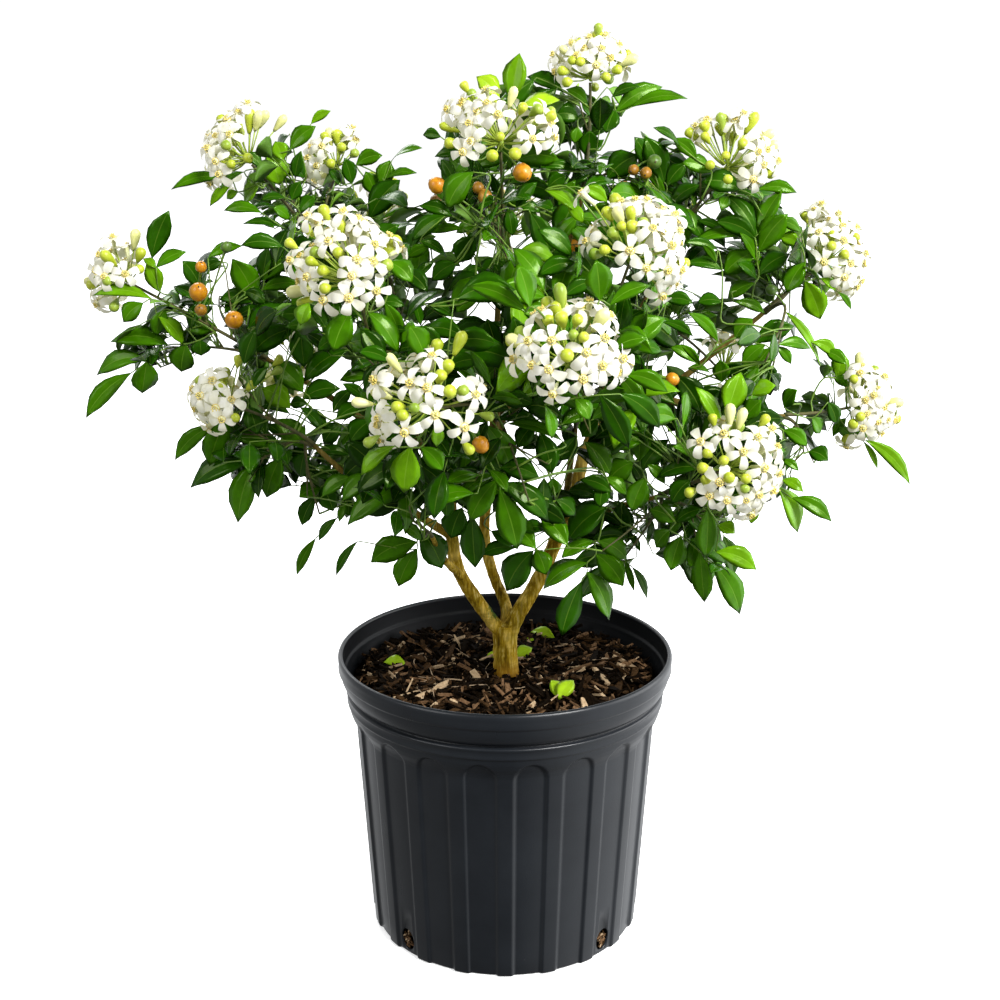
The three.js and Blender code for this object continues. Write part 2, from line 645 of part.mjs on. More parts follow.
// A leaf's frame and corners: two raised edges and a keel below them at its widest place, and a tip
// that droops.
function leafAt(base, along, facing, length) {
  const side = facing.clone().cross(along).normalize();
  const normal = along.clone().cross(side);
  const width = length * LEAF_WIDTH_SHARE;
  const place = (u, v, w) =>
    base.clone().addScaledVector(along, u).addScaledVector(side, v).addScaledVector(normal, w);
  const widest = LEAF_WIDEST * length;
  const fold = LEAF_FOLD * length;
  const ring = [
    place(widest, width / 2, fold),
    place(widest, -width / 2, fold),
    place(widest * 0.7, 0, fold - LEAF_THICKNESS),
  ];
  return { base, along, side, normal, length, width, ring, tip: place(length, 0, -LEAF_DROOP * length) };
}

// A leaf by itself, to test what it would touch.
function looseLeaf({ base, ring, tip }) {
  const shape = { corners: [base, ...ring], triangles: [[0, 2, 1], [0, 3, 2], [0, 1, 3]] };
  closeRing(shape, [1, 2, 3], tip);
  return shapeSolid(shape);
}

function leafIsClear(leaf, mass, obstacles) {
  if (![...leaf.ring, leaf.tip].every((corner) => inOwnSpace(corner, mass))) return false;
  const reach = leaf.length + 12;
  return obstacles.every(({ at, radius }) => {
    const away = at.clone().sub(leaf.base);
    if (away.lengthSq() > reach * reach) return true;
    const u = away.dot(leaf.along);
    const v = Math.abs(away.dot(leaf.side));
    const w = away.dot(leaf.normal);
    const share = THREE.MathUtils.clamp(u / leaf.length, 0, 1);
    const narrowing = share < LEAF_WIDEST ? share / LEAF_WIDEST : (1 - share) / (1 - LEAF_WIDEST);
    const beyond = u < -radius || u > leaf.length + radius || v > (leaf.width / 2) * narrowing + radius + 1;
    return beyond || w > radius + LEAF_FOLD * leaf.length || w < -radius - LEAF_DROOP * leaf.length;
  });
}

function distanceToLine(point, from, to) {
  return new THREE.Line3(from, to).closestPointToPoint(point, true, vec(0, 0, 0)).distanceTo(point);
}

function twigIsClear(from, to, obstacles) {
  return obstacles.every(({ at, radius }) => distanceToLine(at, from, to) > radius + TWIG_RADIUS + GAP);
}

// The masses made so far, which later ones keep clear of.
const finished = [];

// Grows a leaf out of a ring of three corners of its twig.
function growLeaf(shape, root, leaf) {
  const ring = addCorners(shape, leaf.ring);
  bridge(shape, root, ring, leaf.base, leaf.along);
  closeRing(shape, ring, leaf.tip);
}

// A spray: one three-sided side twig with pairs of leaves at its nodes, and a leaf at its tip.
function growSpray(mass, from, tip, random, obstacles, grown, leafLength, marksOutline) {
  const along = unitBetween(from, tip);
  const whole = from.distanceTo(tip);
  const endLeaf = Math.min(leafLength * (0.95 + 0.15 * random()), 0.6 * whole);
  const twig = whole - endLeaf;
  const end = from.clone().addScaledVector(along, twig);
  const outward = unitBetween(CROWN_CENTRE, end);
  const facing = vec(0, 0, 0.75).addScaledVector(outward, 0.6);
  facing.addScaledVector(along, -facing.dot(along)).normalize();
  const side = facing.clone().cross(along).normalize();
  const pairs = THREE.MathUtils.clamp(1 + Math.floor((twig - PETIOLE) / NODE_SPACING), 1, 3);
  const draws = Array.from({ length: 18 }, () => random());
  if (!inOwnSpace(end, mass) || !twigIsClear(from, end, obstacles)) return;
  if (mass.bloom && distanceToLine(toVec(mass.at), from, end) < 0.6 * mass.bloom) return;
  const own = [];
  const fits = (leaf) => {
    const outside = !marksOutline && ![...leaf.ring, leaf.tip].every((corner) => inReach(corner, mass));
    if (outside || !leafIsClear(leaf, mass, obstacles)) return false;
    const loose = looseLeaf(leaf);
    if ([...grown.touchable, ...own].some((other) => other.intersect(loose).volume() > TOUCH_VOLUME)) return false;
    if (finished.some((other) => other.intersect(loose).volume() > SLIVER_VOLUME)) return false;
    own.push(loose);
    return true;
  };
  const shape = { corners: [], triangles: [] };
  const ringAt = (distance) => {
    const middle = from.clone().addScaledVector(along, distance);
    const third = (sideways, up) => middle.clone().addScaledVector(side, sideways).addScaledVector(facing, up);
    const half = 0.87 * TWIG_RADIUS;
    return addCorners(shape, [
      third(0, TWIG_RADIUS),
      third(-half, -0.5 * TWIG_RADIUS),
      third(half, -0.5 * TWIG_RADIUS),
    ]);
  };
  let ring = ringAt(NECK);
  closeRing(shape, [...ring].reverse(), from);
  for (let node = pairs - 1; node >= 0; node--) {
    const distance = twig - node * NODE_SPACING;
    const foot = ringAt(distance - NODE_LENGTH);
    walls(shape, ring, foot);
    const head = ringAt(distance);
    shape.triangles.push([foot[1], foot[2], head[2]], [foot[1], head[2], head[1]]);
    for (const hand of [-1, 1]) {
      const draw = 3 * (2 * node + (hand > 0 ? 1 : 0));
      const lean = radians(50 + 10 * draws[draw]);
      const length = leafLength * (0.84 + 0.2 * draws[draw + 1]);
      const way = along
        .clone()
        .multiplyScalar(Math.cos(lean))
        .addScaledVector(side, hand * Math.sin(lean))
        .add(vec(0, 0, -0.2 * draws[draw + 2]))
        .normalize();
      const [a, b] = hand < 0 ? [0, 1] : [2, 0];
      const root = [foot[a], foot[b], head[b]];
      shape.triangles.push([foot[a], head[b], head[a]]);
      const base = from.clone().addScaledVector(along, distance - NODE_LENGTH / 2);
      const leaf = leafAt(base, way, facing, length);
      if (fits(leaf)) growLeaf(shape, root, leaf);
      else shape.triangles.push(root);
    }
    ring = head;
  }
  const last = leafAt(end, along, facing, endLeaf);
  if (fits(last)) growLeaf(shape, ring, last);
  else shape.triangles.push(ring);
  if (own.length < (marksOutline ? 1 : FEWEST_LEAVES)) return;
  const spray = shapeSolid(shape);
  if (grown.solids.slice(1).some((other) => other.intersect(spray).volume() > CROSSING_VOLUME)) return;
  if (finished.some((other) => other.intersect(spray).volume() > SLIVER_VOLUME)) return;
  grown.solids.push(spray);
  grown.touchable.push(...own);
  grown.leaves += own.length;
}

// A head of blossom: a small twenty-sided knob, with a five-petalled trumpet grown out of each of
// the sides that face along the head's axis.
function growHead(mass, random) {
  const middle = mass.end.clone().addScaledVector(mass.axis, KNOB_RISE * mass.bloom);
  const knob = shapeOf(new THREE.IcosahedronGeometry(KNOB_RADIUS, 0));
  const faceNormal = ([a, b, c]) => knob.corners[a].clone().add(knob.corners[b]).add(knob.corners[c]).normalize();
  const turned = new THREE.Quaternion().setFromUnitVectors(faceNormal(knob.triangles[0]), mass.axis);
  for (const corner of knob.corners) corner.applyQuaternion(turned);
  const faces = knob.triangles.map((face) => ({ face, along: faceNormal(face) }));
  for (const corner of knob.corners) corner.add(middle);
  knob.triangles = [];
  for (const { face, along } of faces) {
    const turn = 2 * Math.PI * random();
    const reach = mass.bloom * (0.93 + 0.1 * random());
    const across = knob.corners[face[0]].clone().sub(middle);
    across.addScaledVector(along, -across.dot(along)).normalize();
    const third = along.clone().cross(across);
    const rim = Array.from({ length: PETALS }, (_, k) => {
      const angle = turn + (2 * k * Math.PI) / PETALS;
      return middle
        .clone()
        .addScaledVector(along, reach)
        .addScaledVector(across, Math.cos(angle) * FLOWER_RADIUS)
        .addScaledVector(third, Math.sin(angle) * FLOWER_RADIUS);
    });
    const facesOut = along.angleTo(mass.axis) < radians(FLOWER_SPREAD);
    if (facesOut && rim.every((corner) => inOwnSpace(corner, mass))) {
      const ring = addCorners(knob, rim);
      bridge(knob, face, ring, middle, along);
      closeRing(knob, ring, middle.clone().addScaledVector(along, reach - FLOWER_CUP));
    } else {
      knob.triangles.push(face);
    }
  }
  return shapeSolid(knob);
}

// A fruit: a small ball with a stalk grown out of it to the nearest part of the leader.
function growFruit(mass, at) {
  const shares = Array.from({ length: 21 }, (_, i) => i / 20);
  const roots = shares.map((share) => mass.leader.getPoint(share));
  const root = roots.reduce((best, point) => (point.distanceTo(at) < best.distanceTo(at) ? point : best));
  const along = unitBetween(at, root);
  const ball = shapeOf(new THREE.IcosahedronGeometry(FRUIT_RADIUS, 0));
  const heights = ball.triangles.map((face) => face.reduce((sum, index) => sum + ball.corners[index].dot(along), 0));
  const [face] = ball.triangles.splice(heights.indexOf(Math.max(...heights)), 1);
  for (const corner of ball.corners) corner.add(at);
  const ring = addCorners(
    ball,
    face.map((index) => {
      const away = ball.corners[index].clone().sub(at);
      return root.clone().addScaledVector(away.addScaledVector(along, -away.dot(along)), 0.35);
    }),
  );
  bridge(ball, face, ring, at, along);
  ball.triangles.push(ring);
  return shapeSolid(ball);
}

// Whether a solid is still one closed body once its corners are rounded to a thousandth.
function survivesRounding(solid) {
  try {
    const again = solidOf(geometryOf(solid), 1e-3);
    return again.decompose().length === 1 && again.volume() > 0;
  } catch {
    return false;
  }
}

// The tips that mark the outline, each with its own place along the leader, nearest first.
function outlineRoots(mass) {
  const start = mass.leader.getPoint(0);
  const along = unitBetween(start, mass.end);
  const tips = mass.outline.map(toVec);
  tips.sort((one, other) => one.clone().sub(start).dot(along) - other.clone().sub(start).dot(along));
  const [first, last] = mass.bloom ? BLOOM_ROOTS : PLAIN_ROOTS;
  return tips.map((tip, i) => {
    const share = THREE.MathUtils.lerp(first, last, (i + 0.5) / tips.length);
    return { tip, from: mass.leader.getPoint(share) };
  });
}

// A solid with whatever comes within the gap of a limb cut away.
function clearOfLimbs(solid) {
  let clear = solid;
  for (const limb of limbs) {
    const wide = limbTube(limb, GAP);
    if (clear.intersect(wide).volume() > SLIVER_VOLUME) clear = mainBody(clear.subtract(wide));
  }
  return clear;
}

// A mass: the leader, the head of blossom, the fruit, the sprays that mark the crown's outline, and
// then sprays by the seeded rule until the mass has its leaves.
function growMass(mass, index) {
  const random = randomFrom(1000 + 37 * index);
  const obstacles = obstaclesFor(mass);
  const shares = Array.from({ length: LEADER_STEPS + 1 }, (_, i) => i / LEADER_STEPS);
  const points = shares.map((share) => mass.leader.getPoint(share));
  const radii = shares.map((share) => THREE.MathUtils.lerp(LEADER_RADIUS, LEADER_TIP_RADIUS, share));
  const grown = { solids: [shapeSolid(taperedTube(points, radii, LEADER_SIDES))], touchable: [], leaves: 0 };
  if (mass.bloom) grown.touchable.push(growHead(mass, random));
  for (const at of mass.fruit ?? []) grown.touchable.push(growFruit(mass, toVec(at)));
  grown.solids.push(...grown.touchable);
  for (const { tip, from } of outlineRoots(mass)) {
    growSpray(mass, from, tip, random, obstacles, grown, LEAF_LENGTH, true);
  }
  const phase = random();
  for (let i = 0; i < MOST_TRIES && grown.leaves < mass.leaves; i++) {
    const share = 0.25 + 0.72 * ((phase + i * GOLDEN_SHARE) % 1);
    const from = mass.leader.getPoint(share);
    const along = mass.leader.getTangent(share);
    const across = vec(0, 0, 1).addScaledVector(along, -along.z).normalize();
    const third = along.clone().cross(across);
    const turn = 2 * Math.PI * phase + i * GOLDEN_ANGLE;
    const lean = radians(45 + 30 * random());
    const leafLength = i < MOST_TRIES / 2 ? LEAF_LENGTH : SMALL_LEAF_LENGTH;
    const length = leafLength + PETIOLE + NODE_SPACING * (0.1 + 1.5 * random());
    const way = along
      .clone()
      .multiplyScalar(Math.cos(lean))
      .addScaledVector(across, Math.sin(lean) * Math.cos(turn))
      .addScaledVector(third, Math.sin(lean) * Math.sin(turn))
      .normalize();
    growSpray(mass, from, from.clone().addScaledVector(way, length), random, obstacles, grown, leafLength, false);
  }
  let kept = grown.solids;
  let whole = clearOfLimbs(mainBody(joined(kept)));
  while (!survivesRounding(whole) && kept.length > 1) {
    kept = kept.slice(0, -1);
    whole = clearOfLimbs(mainBody(joined(kept)));
  }
  finished.push(whole);
  return whole;
}

addPiece("pot", makePot(), plastic);
addPiece("soil", makeSoil(), soilMix);
makeLimbs();
layLeaders();
masses.forEach((mass, index) => addPiece("foliage_" + mass.name, growMass(mass, index), foliage));

export default plant;
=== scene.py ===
# Potted orange jasmine: the looks of a flowering shrub in a round fluted nursery pot.
# Sizes are in millimetres, +Z up and -Y to the front, and are turned into metres as each mesh is made.
# The crown grows by the same seeded rule as the part's source, carried on to side twigs, compound
# leaves with real-size leaflets, flowers, buds and fruit.
# A measure drawn by chance is written as its least and what chance adds at most; a third number is a power
# that keeps most of them small.

import math

import bpy
import numpy as np
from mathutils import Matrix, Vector, noise


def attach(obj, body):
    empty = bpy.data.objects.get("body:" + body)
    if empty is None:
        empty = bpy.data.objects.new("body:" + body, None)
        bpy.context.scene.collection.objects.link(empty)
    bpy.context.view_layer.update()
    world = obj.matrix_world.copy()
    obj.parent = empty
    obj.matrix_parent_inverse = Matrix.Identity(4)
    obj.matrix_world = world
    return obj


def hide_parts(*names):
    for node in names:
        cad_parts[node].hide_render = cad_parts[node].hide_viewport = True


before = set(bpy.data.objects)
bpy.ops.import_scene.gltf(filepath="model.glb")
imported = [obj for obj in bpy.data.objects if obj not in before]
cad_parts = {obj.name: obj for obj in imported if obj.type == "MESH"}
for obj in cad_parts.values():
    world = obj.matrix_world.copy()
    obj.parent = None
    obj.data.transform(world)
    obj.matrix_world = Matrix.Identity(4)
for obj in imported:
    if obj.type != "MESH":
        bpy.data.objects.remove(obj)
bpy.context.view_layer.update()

MM = 0.001
UP = np.array([0.0, 0.0, 1.0])

# Camera, in millimetres, degrees and pixels
CAMERA_X = -4.2
CAMERA_Y = -1138.0
CAMERA_HEIGHT = 688.3
CAMERA_PITCH = 15.63
CAMERA_REACH = 50
FOCAL_PIXELS = 1444.9
IMAGE_PIXELS = 1000
SENSOR = 36.0

# Light: the backdrop that the camera sees, and the air that lights the plant
BACKDROP_LIGHT = 1.05
AIR_LIGHT = 0.17
# What the right, the back and the left add to the air: the axis, where it starts and ends, and the most
SIDE_LIGHTS = [("X", 0.15, 1.0, 1.5), ("Y", 0.3, 1.0, 1.1), ("X", -0.2, -1.0, 0.28)]
# Lamps: name, place, target and size in metres, and power in watts
LAMPS = [
    ("key", (1.3, -1.5, 2.0), (0, 0, 0.45), 1.0, 100), ("side", (1.6, 0.2, 0.7), (0, 0, 0.25), 1.5, 16),
    ("fill", (-1.8, -1.4, 1.6), (0, 0, 0.4), 1.3, 22), ("rim", (-0.9, 1.7, 1.9), (0, 0, 0.4), 1.2, 20),
]
FLOOR_RADIUS = 9000.0
FLOOR_SIDES = 96
# The floor's glow: the distances in metres where it starts and ends to rise, and how strong it is there
FLOOR_GLOW = (0.15, 0.7, 0.55, BACKDROP_LIGHT)

# Pot
FOOT_RADIUS = 115.2
WALL = 3.6
FLOOR = 3.0
UNDERSIDE_RADIUS = 20
# Heights of the rings up the wall, and the first, the end and the step of those that round the flutes' arches
PLAIN_HEIGHTS = [20, 45, 70, 95, 120, 145, 165, 175]
ARCH_HEIGHTS = (177.5, 199.2, 0.8)
FLUTES = 20
FLUTE_DEPTH = 1.9
FLUTE_TOP = 196.5
FLUTE_ARCH = 18.0
FLUTE_SHARE = 0.7
FLUTE_ROUNDING = 2.4
FLUTE_COLUMNS = 32
DRAIN_ANGLES = (45, 135, 225, 315)
DRAIN_HEIGHT = 13.7
DRAIN_HALF_WIDTH = 7.5
DRAIN_HALF_HEIGHT = 10.2
DRAIN_SIDES = 36
# How far past the foot's radius each ring of a hole's cutter is, and how much wider than the hole
DRAIN_STATIONS = ((-14, 0.92), (-3.2, 0.94), (-0.6, 1.0), (6, 1.16))

# Heights and radii up the outside of the pot's wall, then down its inside
OUTER = [
    (0.0, 112.0), (0.5, 113.6), (1.4, 114.7), (3.0, 115.35), (182.0, 126.5), (186.0, 127.6), (191.0, 130.0),
    (195.0, 131.3), (199.0, 131.9), (200.3, 132.1), (200.9, 133.0), (201.8, 133.2), (203.0, 132.8),
    (206.5, 132.6), (207.6, 133.1), (208.6, 133.6), (209.6, 133.5), (210.3, 132.4), (210.9, 130.4),
    (212.3, 130.2), (213.0, 131.6), (214.0, 133.7), (217.0, 135.4), (222.0, 137.4), (226.6, 138.4),
    (227.5, 138.5), (228.3, 139.4), (229.4, 139.9), (233.0, 139.6), (236.0, 139.9), (238.6, 140.0),
    (240.2, 139.3), (241.0, 138.2),
]
INNER = [
    (241.0, 137.0), (240.4, 136.1), (239.0, 135.8), (227.5, 135.2), (226.0, 134.6), (225.2, 133.5),
    (224.0, 133.2), (214.0, 131.0), (211.0, 128.9), (197.0, 123.9), (FLOOR, FOOT_RADIUS - WALL),
]

# Soil
GAP = 0.3
SOIL_TOP = 218.0
SOIL_EDGE_DROP = 3.5
SOIL_RADIUS = 128.0
SOIL_INSET = 0.4
SOIL_FLAT_RADIUS = 14
SOIL_SETTLING = 20
SOIL_COLUMNS = 128
SOIL_RINGS = 30
SOIL_WALL = [(FLOOR + GAP, FOOT_RADIUS - WALL - 0.5), (197.0, 123.3), (211.0, SOIL_RADIUS)]
HEAP_HEIGHT = 2.2
HEAP_SCALE = 0.035
CRUMB_HEIGHT = 1.1
CRUMB_SCALE = 0.11
CHIPS = 2700
CHIPS_IN_DRAIN = 34
TRUNK_CLEARANCE = 17
CHIP_LENGTHS = (6, 24, 1.8)
CHIP_WIDTHS = (1.2, 5.2, 2.2)
CHIP_THICKNESSES = (0.9, 2.2, 1.5)
CHIP_LIFTS = (0, 5.0, 1.6)
DRAIN_CHIP_DEPTHS = (FOOT_RADIUS - WALL + GAP, 1.2)
DRAIN_CHIP_LENGTHS = (2.5, 2.5)
DRAIN_CHIP_WIDTHS = (1.0, 0.8)
DRAIN_CHIP_THICKNESS = 0.7
# The shares of all chips that the first, the first two and the first three paints make up
CHIP_KINDS = (0.60, 0.84, 0.94)
CHIP_PAINTS = [
    ("dark", (0.0012, 0.0006, 0.0002), (0.009, 0.005, 0.002), 0.8, 0.03),
    ("brown", (0.014, 0.007, 0.002), (0.058, 0.030, 0.012), 0.8, 0.05),
    ("red", (0.070, 0.036, 0.015), (0.185, 0.105, 0.052), 0.8, 0.08),
    ("tan", (0.27, 0.18, 0.10), (0.52, 0.38, 0.23), 0.85, 0.12),
]
ROOTS = 26
ROOT_PLACES = (30, 88)
ROOT_RADII = (0.35, 0.4)
ROOT_STEPS = 8
ROOT_STEP = 6.5
ROOT_LIFT = 3.6

# Crown
CROWN_CENTRE = np.array([0.0, 5.0, 455.0])
CROWN_REACH = np.array([330.0, 280.0, 268.0])
LOWEST_LEAF = 276.0
END_REACH = 45.0
BACK_REACH = 258.0
GOLDEN_ANGLE = math.radians(137.5)
GOLDEN_SHARE = 0.618

# Limbs and twigs
BOUGH_RADII = [3.9, 3.1]
BOUGH_SLIMMING = 0.38
LIMB_STEPS = 26
LIMB_SIDES = 20
LIMB_SAMPLES = 40
BARK_VOXEL = 1.1
# Ridges, knobs and rings in the bark: how strong, how fine across and along the limb, and a shift
BARK_RELIEF = [(0.6, 0.30, 0.10, 0), (1.1, 0.12, 0.10, 9), (0.8, 0.05, 0.34, 0)]
# In metres: where the bark's tone changes towards the soil and towards the boughs, and the patch of moss
BARK_FOOT = (0.236, 0.220)
BARK_UPPER = (0.33, 0.43)
MOSS_RADII = (0.0065, 0.0105)
MOSS_RAGGEDNESS = 0.006
LEADER_RADIUS = 1.65
LEADER_TIP_RADIUS = 1.1
BARE_TIP_RADIUS = 0.7
LEADER_BEND = 0.34
LEADER_INSET = 1.5
SLOT_RADIUS = 1.5
SIDE_TWIGS = 4
FIRST_FORK = 0.3
FORK_STEP = 0.16
TWIG_TURN = 2.4
TWIG_LEANS = (34, 26)
TWIG_LENGTHS = (34, 34)

# Leaves
LEAFLETS = 70
LEAF_SPACING = 8.5
LEAF_ARCH = 0.12
LEAF_KEEL = 0.42
LEAF_FOLDS = (0.10, 0.16)
LEAF_DROOPS = (0.03, 0.16)
LEAF_WIDTH_SHARES = (0.46, 0.08)
FILL_TRIES = 390
LEAF_LEANS = (38, 34)
LEAF_REACHES = (62, 42)
LEAFY_FROM = (0.22, 0.3)
LEAFY_TO = 0.98
END_LEAF_SHARE = 0.42
END_LEAF_LENGTHS = (26, 44)
END_LEAF_VARIETY = (0.9, 0.16)
SHORTEST_STALK = 14
STALK_RADII = (0.9, 0.45)
LEAFY_LENGTHS = (58, 12)
LEAFLET_STEPS = (10.5, 2.5)
LEAFLET_LEANS = (46, 20)
LEAFLET_VARIETY = (0.9, 0.2)
LEAFLET_STALK = 2.4

# Blossom and fruit
HEAD_DEPTH = 0.45
KNOB_RISE = 0.12
HEAD_ANGLE = 98.0
HEAD_CLEARANCE = 0.86
HEAD_OVERHANG = 0.35
BUD_GROUPS = 3
BUD_GROUP_ANGLE = math.radians(22)
FLOWER_AREA = 270.0
FLOWER_SIZE = 23.8
FLOWER_VARIETY = (0.94, 0.12)
FLOWER_DEPTHS = (0.84, 0.16)
BUD_RADII = (3.3, 1.3)
BUD_DEPTHS = (0.80, 0.18)
GROWN_BUD_DEPTHS = (0.78, 0.24)
PETALS = 5
PETAL_HALF_WIDTH = 0.137
PETAL_VARIETY = (0.92, 0.16)
PETAL_OPENINGS = (0.7, 0.5)
STAMENS = 8
FACING_LIGHT = 0.55
# In pixels: how near a shown flower hides a grown one, and how far round each kind leaves keep away
HIDDEN_PIXELS = 19
FLOWER_MARK = 13
BUD_MARK = 8
FRUIT_MARK = 9
LEAF_MARK = 10
FRUIT_SHAPE = 2.12
FRUIT_KINDS = ["ripe", "dull", "green"]
EGG_LEVELS = 6

# Trunk, stems and boughs: the points of the middle line, and the radii where it isn't a bough
LIMBS = {
    "trunk": ([(1.2, 0, 210), (1, 0, 220), (0.6, 0, 229), (0, 0, 242), (0, 0, 262)],
              [11.6, 11.0, 10.3, 10.2, 10.4]),
    "stem_left": ([(0, 0, 250), (-14, -5, 271), (-38, -15, 314), (-43, -20, 345), (-44, -22, 380)],
                  [6.6, 6, 5.6, 5.3, 5]),
    "stem_middle": ([(0, 2, 252), (1, 8, 272), (-11, 15, 304), (-17, 20, 333), (-14, 13, 385), (-8, 5, 440)],
                    [5, 4.9, 4.7, 4.6, 4.4, 4.1]),
    "stem_right": ([(1, 0, 248), (11, 1, 271), (27, 5, 298), (48, 10, 347), (58, 12, 377), (66, 16, 410)],
                   [7.4, 6.8, 6.4, 5.9, 5.6, 5.2]),
    "bough_left": ([(-44, -22, 378), (-90, -25, 425), (-145, -15, 463), (-190, -5, 488)], BOUGH_RADII),
    "bough_left_low": ([(-43, -20, 345), (-80, -42, 376), (-118, -58, 403), (-148, -62, 432)], BOUGH_RADII),
    "bough_left_front": ([(-44, -22, 379), (-62, -58, 425), (-84, -98, 478)], BOUGH_RADII),
    "bough_upper_left": ([(-44, -21, 379), (-72, 4, 450), (-112, 22, 520), (-140, 36, 560)], BOUGH_RADII),
    "bough_middle": ([(-8, 5, 438), (-7, 1, 500), (-4, -9, 562)], BOUGH_RADII),
    "bough_top": ([(-11, 9, 412), (18, 20, 488), (46, 32, 560), (62, 40, 612)], BOUGH_RADII),
    "bough_front": ([(-15, 14, 374), (-12, -48, 416), (-8, -108, 462)], BOUGH_RADII),
    "bough_front_right": ([(51, 10, 356), (50, -42, 404), (52, -100, 456)], BOUGH_RADII),
    "bough_right": ([(66, 16, 408), (108, 6, 442), (162, 0, 488), (206, 3, 524)], BOUGH_RADII),
    "bough_upper_right": ([(66, 16, 409), (86, 10, 474), (114, 2, 540), (134, 0, 584)], BOUGH_RADII),
    "bough_right_low": ([(47, 10, 345), (84, -46, 376), (116, -96, 400)], BOUGH_RADII),
    "bough_right_far": ([(122, 4, 454), (174, -14, 446), (222, -18, 444)], BOUGH_RADII),
    "bough_back_left": ([(-14, 13, 386), (-50, 70, 440), (-84, 122, 482)], BOUGH_RADII),
    "bough_back": ([(-9, 6, 432), (0, 66, 480), (8, 130, 512)], BOUGH_RADII),
    "bough_back_right": ([(64, 15, 403), (96, 72, 452), (124, 118, 492)], BOUGH_RADII),
    "bough_low_front": ([(-35, -14, 308), (-50, -52, 338), (-56, -88, 366)], BOUGH_RADII),
}

# Masses of foliage: the bough that bears each, the middle of its head of blossom or the end of its leader,
# its head's radius or 0, and tips that mark the crown's outline
MASSES = [dict(name=name, bough="bough_" + bough, at=np.array(at, float), bloom=bloom, outline=tips, used=0.0)
          for name, bough, at, bloom, tips in [
    ("top", "top", (69, 45, 712), 31, [(125, 60, 696), (146, 70, 687)]),
    ("upper_centre", "middle", (-4, -60, 668), 41,
        [(8, 10, 720), (-21, 5, 703), (35, 12, 690), (-62, -10, 660)]),
    ("upper_left", "upper_left", (-208, 30, 650), 36, [(-262, 20, 617), (-232, 20, 602)]),
    ("upper_left_inner", "upper_left", (-146, 120, 638), 29,
        [(-151, 150, 676), (-74, 100, 652), (-76, 90, 628)]),
    ("left_far", "left", (-307, 15, 553), 30, [(-266, 20, 600), (-252, 20, 574)]),
    ("left_wing", "left", (-285, -2, 494), 0,
        [(-338, 0, 439), (-330, 0, 477), (-289, 0, 453), (-325, -6, 520)]),
    ("left_centre", "left_front", (-107, -165, 578), 40, []),
    ("left_low", "left_low", (-216, -72, 470), 29, [(-262, -40, 440)]),
    ("left_skirt", "left_low", (-196, -66, 420), 0, [(-209, -60, 368), (-184, -60, 386), (-240, -60, 396)]),
    ("lower_left", "left_low", (-146, -48, 372), 0, [(-167, -30, 316), (-137, -20, 315), (-163, -34, 352)]),
    ("centre_low", "front", (-52, -222, 500), 39, [(-46, -226, 426)]),
    ("centre", "front_right", (41, -232, 532), 39, []),
    ("right_centre", "front_right", (90, -140, 590), 37, []),
    ("upper_right", "upper_right", (176, 0, 645), 36, [(230, 30, 616)]),
    ("right", "right", (258, 10, 569), 35, [(249, 0, 516), (276, 0, 524)]),
    ("right_far", "right_far", (288, -10, 456), 32, [(331, -10, 389), (298, -10, 398)]),
    ("right_low", "right_low", (163, -163, 441), 37, [(218, -130, 388)]),
    ("right_skirt", "right_low", (160, -108, 372), 0,
        [(180, -120, 312), (192, -114, 342), (148, -120, 320)]),
    ("lower_right", "right_low", (92, -86, 350), 0, [(48, -90, 288), (86, -92, 299), (120, -60, 303)]),
    ("right_outer", "right_far", (232, -52, 406), 0, [(250, -80, 374), (226, -80, 366)]),
    ("right_inner", "right", (186, -112, 504), 0, []),
    ("top_gap", "top", (112, 12, 640), 0, [(119, 30, 663)]),
    ("core_centre", "middle", (-20, -122, 606), 0, []),
    ("core_low", "front", (16, -160, 414), 0, [(13, -124, 341)]),
    ("lower_centre", "low_front", (-76, -118, 392), 0,
        [(-83, -60, 315), (-118, -120, 350), (-36, -118, 344)]),
    ("side_left", "left", (-250, 130, 520), 0, []),
    ("side_right", "right", (240, 140, 532), 0, []),
    ("back_upper_left", "back_left", (-116, 178, 592), 35, []),
    ("back_low_left", "back_left", (-190, 150, 460), 34, []),
    ("back_skirt_left", "back_left", (-96, 150, 390), 0, [(-120, 150, 330)]),
    ("back_centre", "back", (4, 222, 574), 38, []),
    ("back_low", "back", (30, 216, 450), 0, [(20, 190, 350)]),
    ("back_right", "back_right", (140, 176, 590), 35, []),
    ("back_low_right", "back_right", (206, 158, 456), 34, []),
    ("back_skirt_right", "back_right", (118, 150, 386), 0, [(120, 140, 325)]),
    ("back_top", "middle", (-20, 112, 640), 0, [(-10, 130, 690), (20, 60, 703)]),
]]

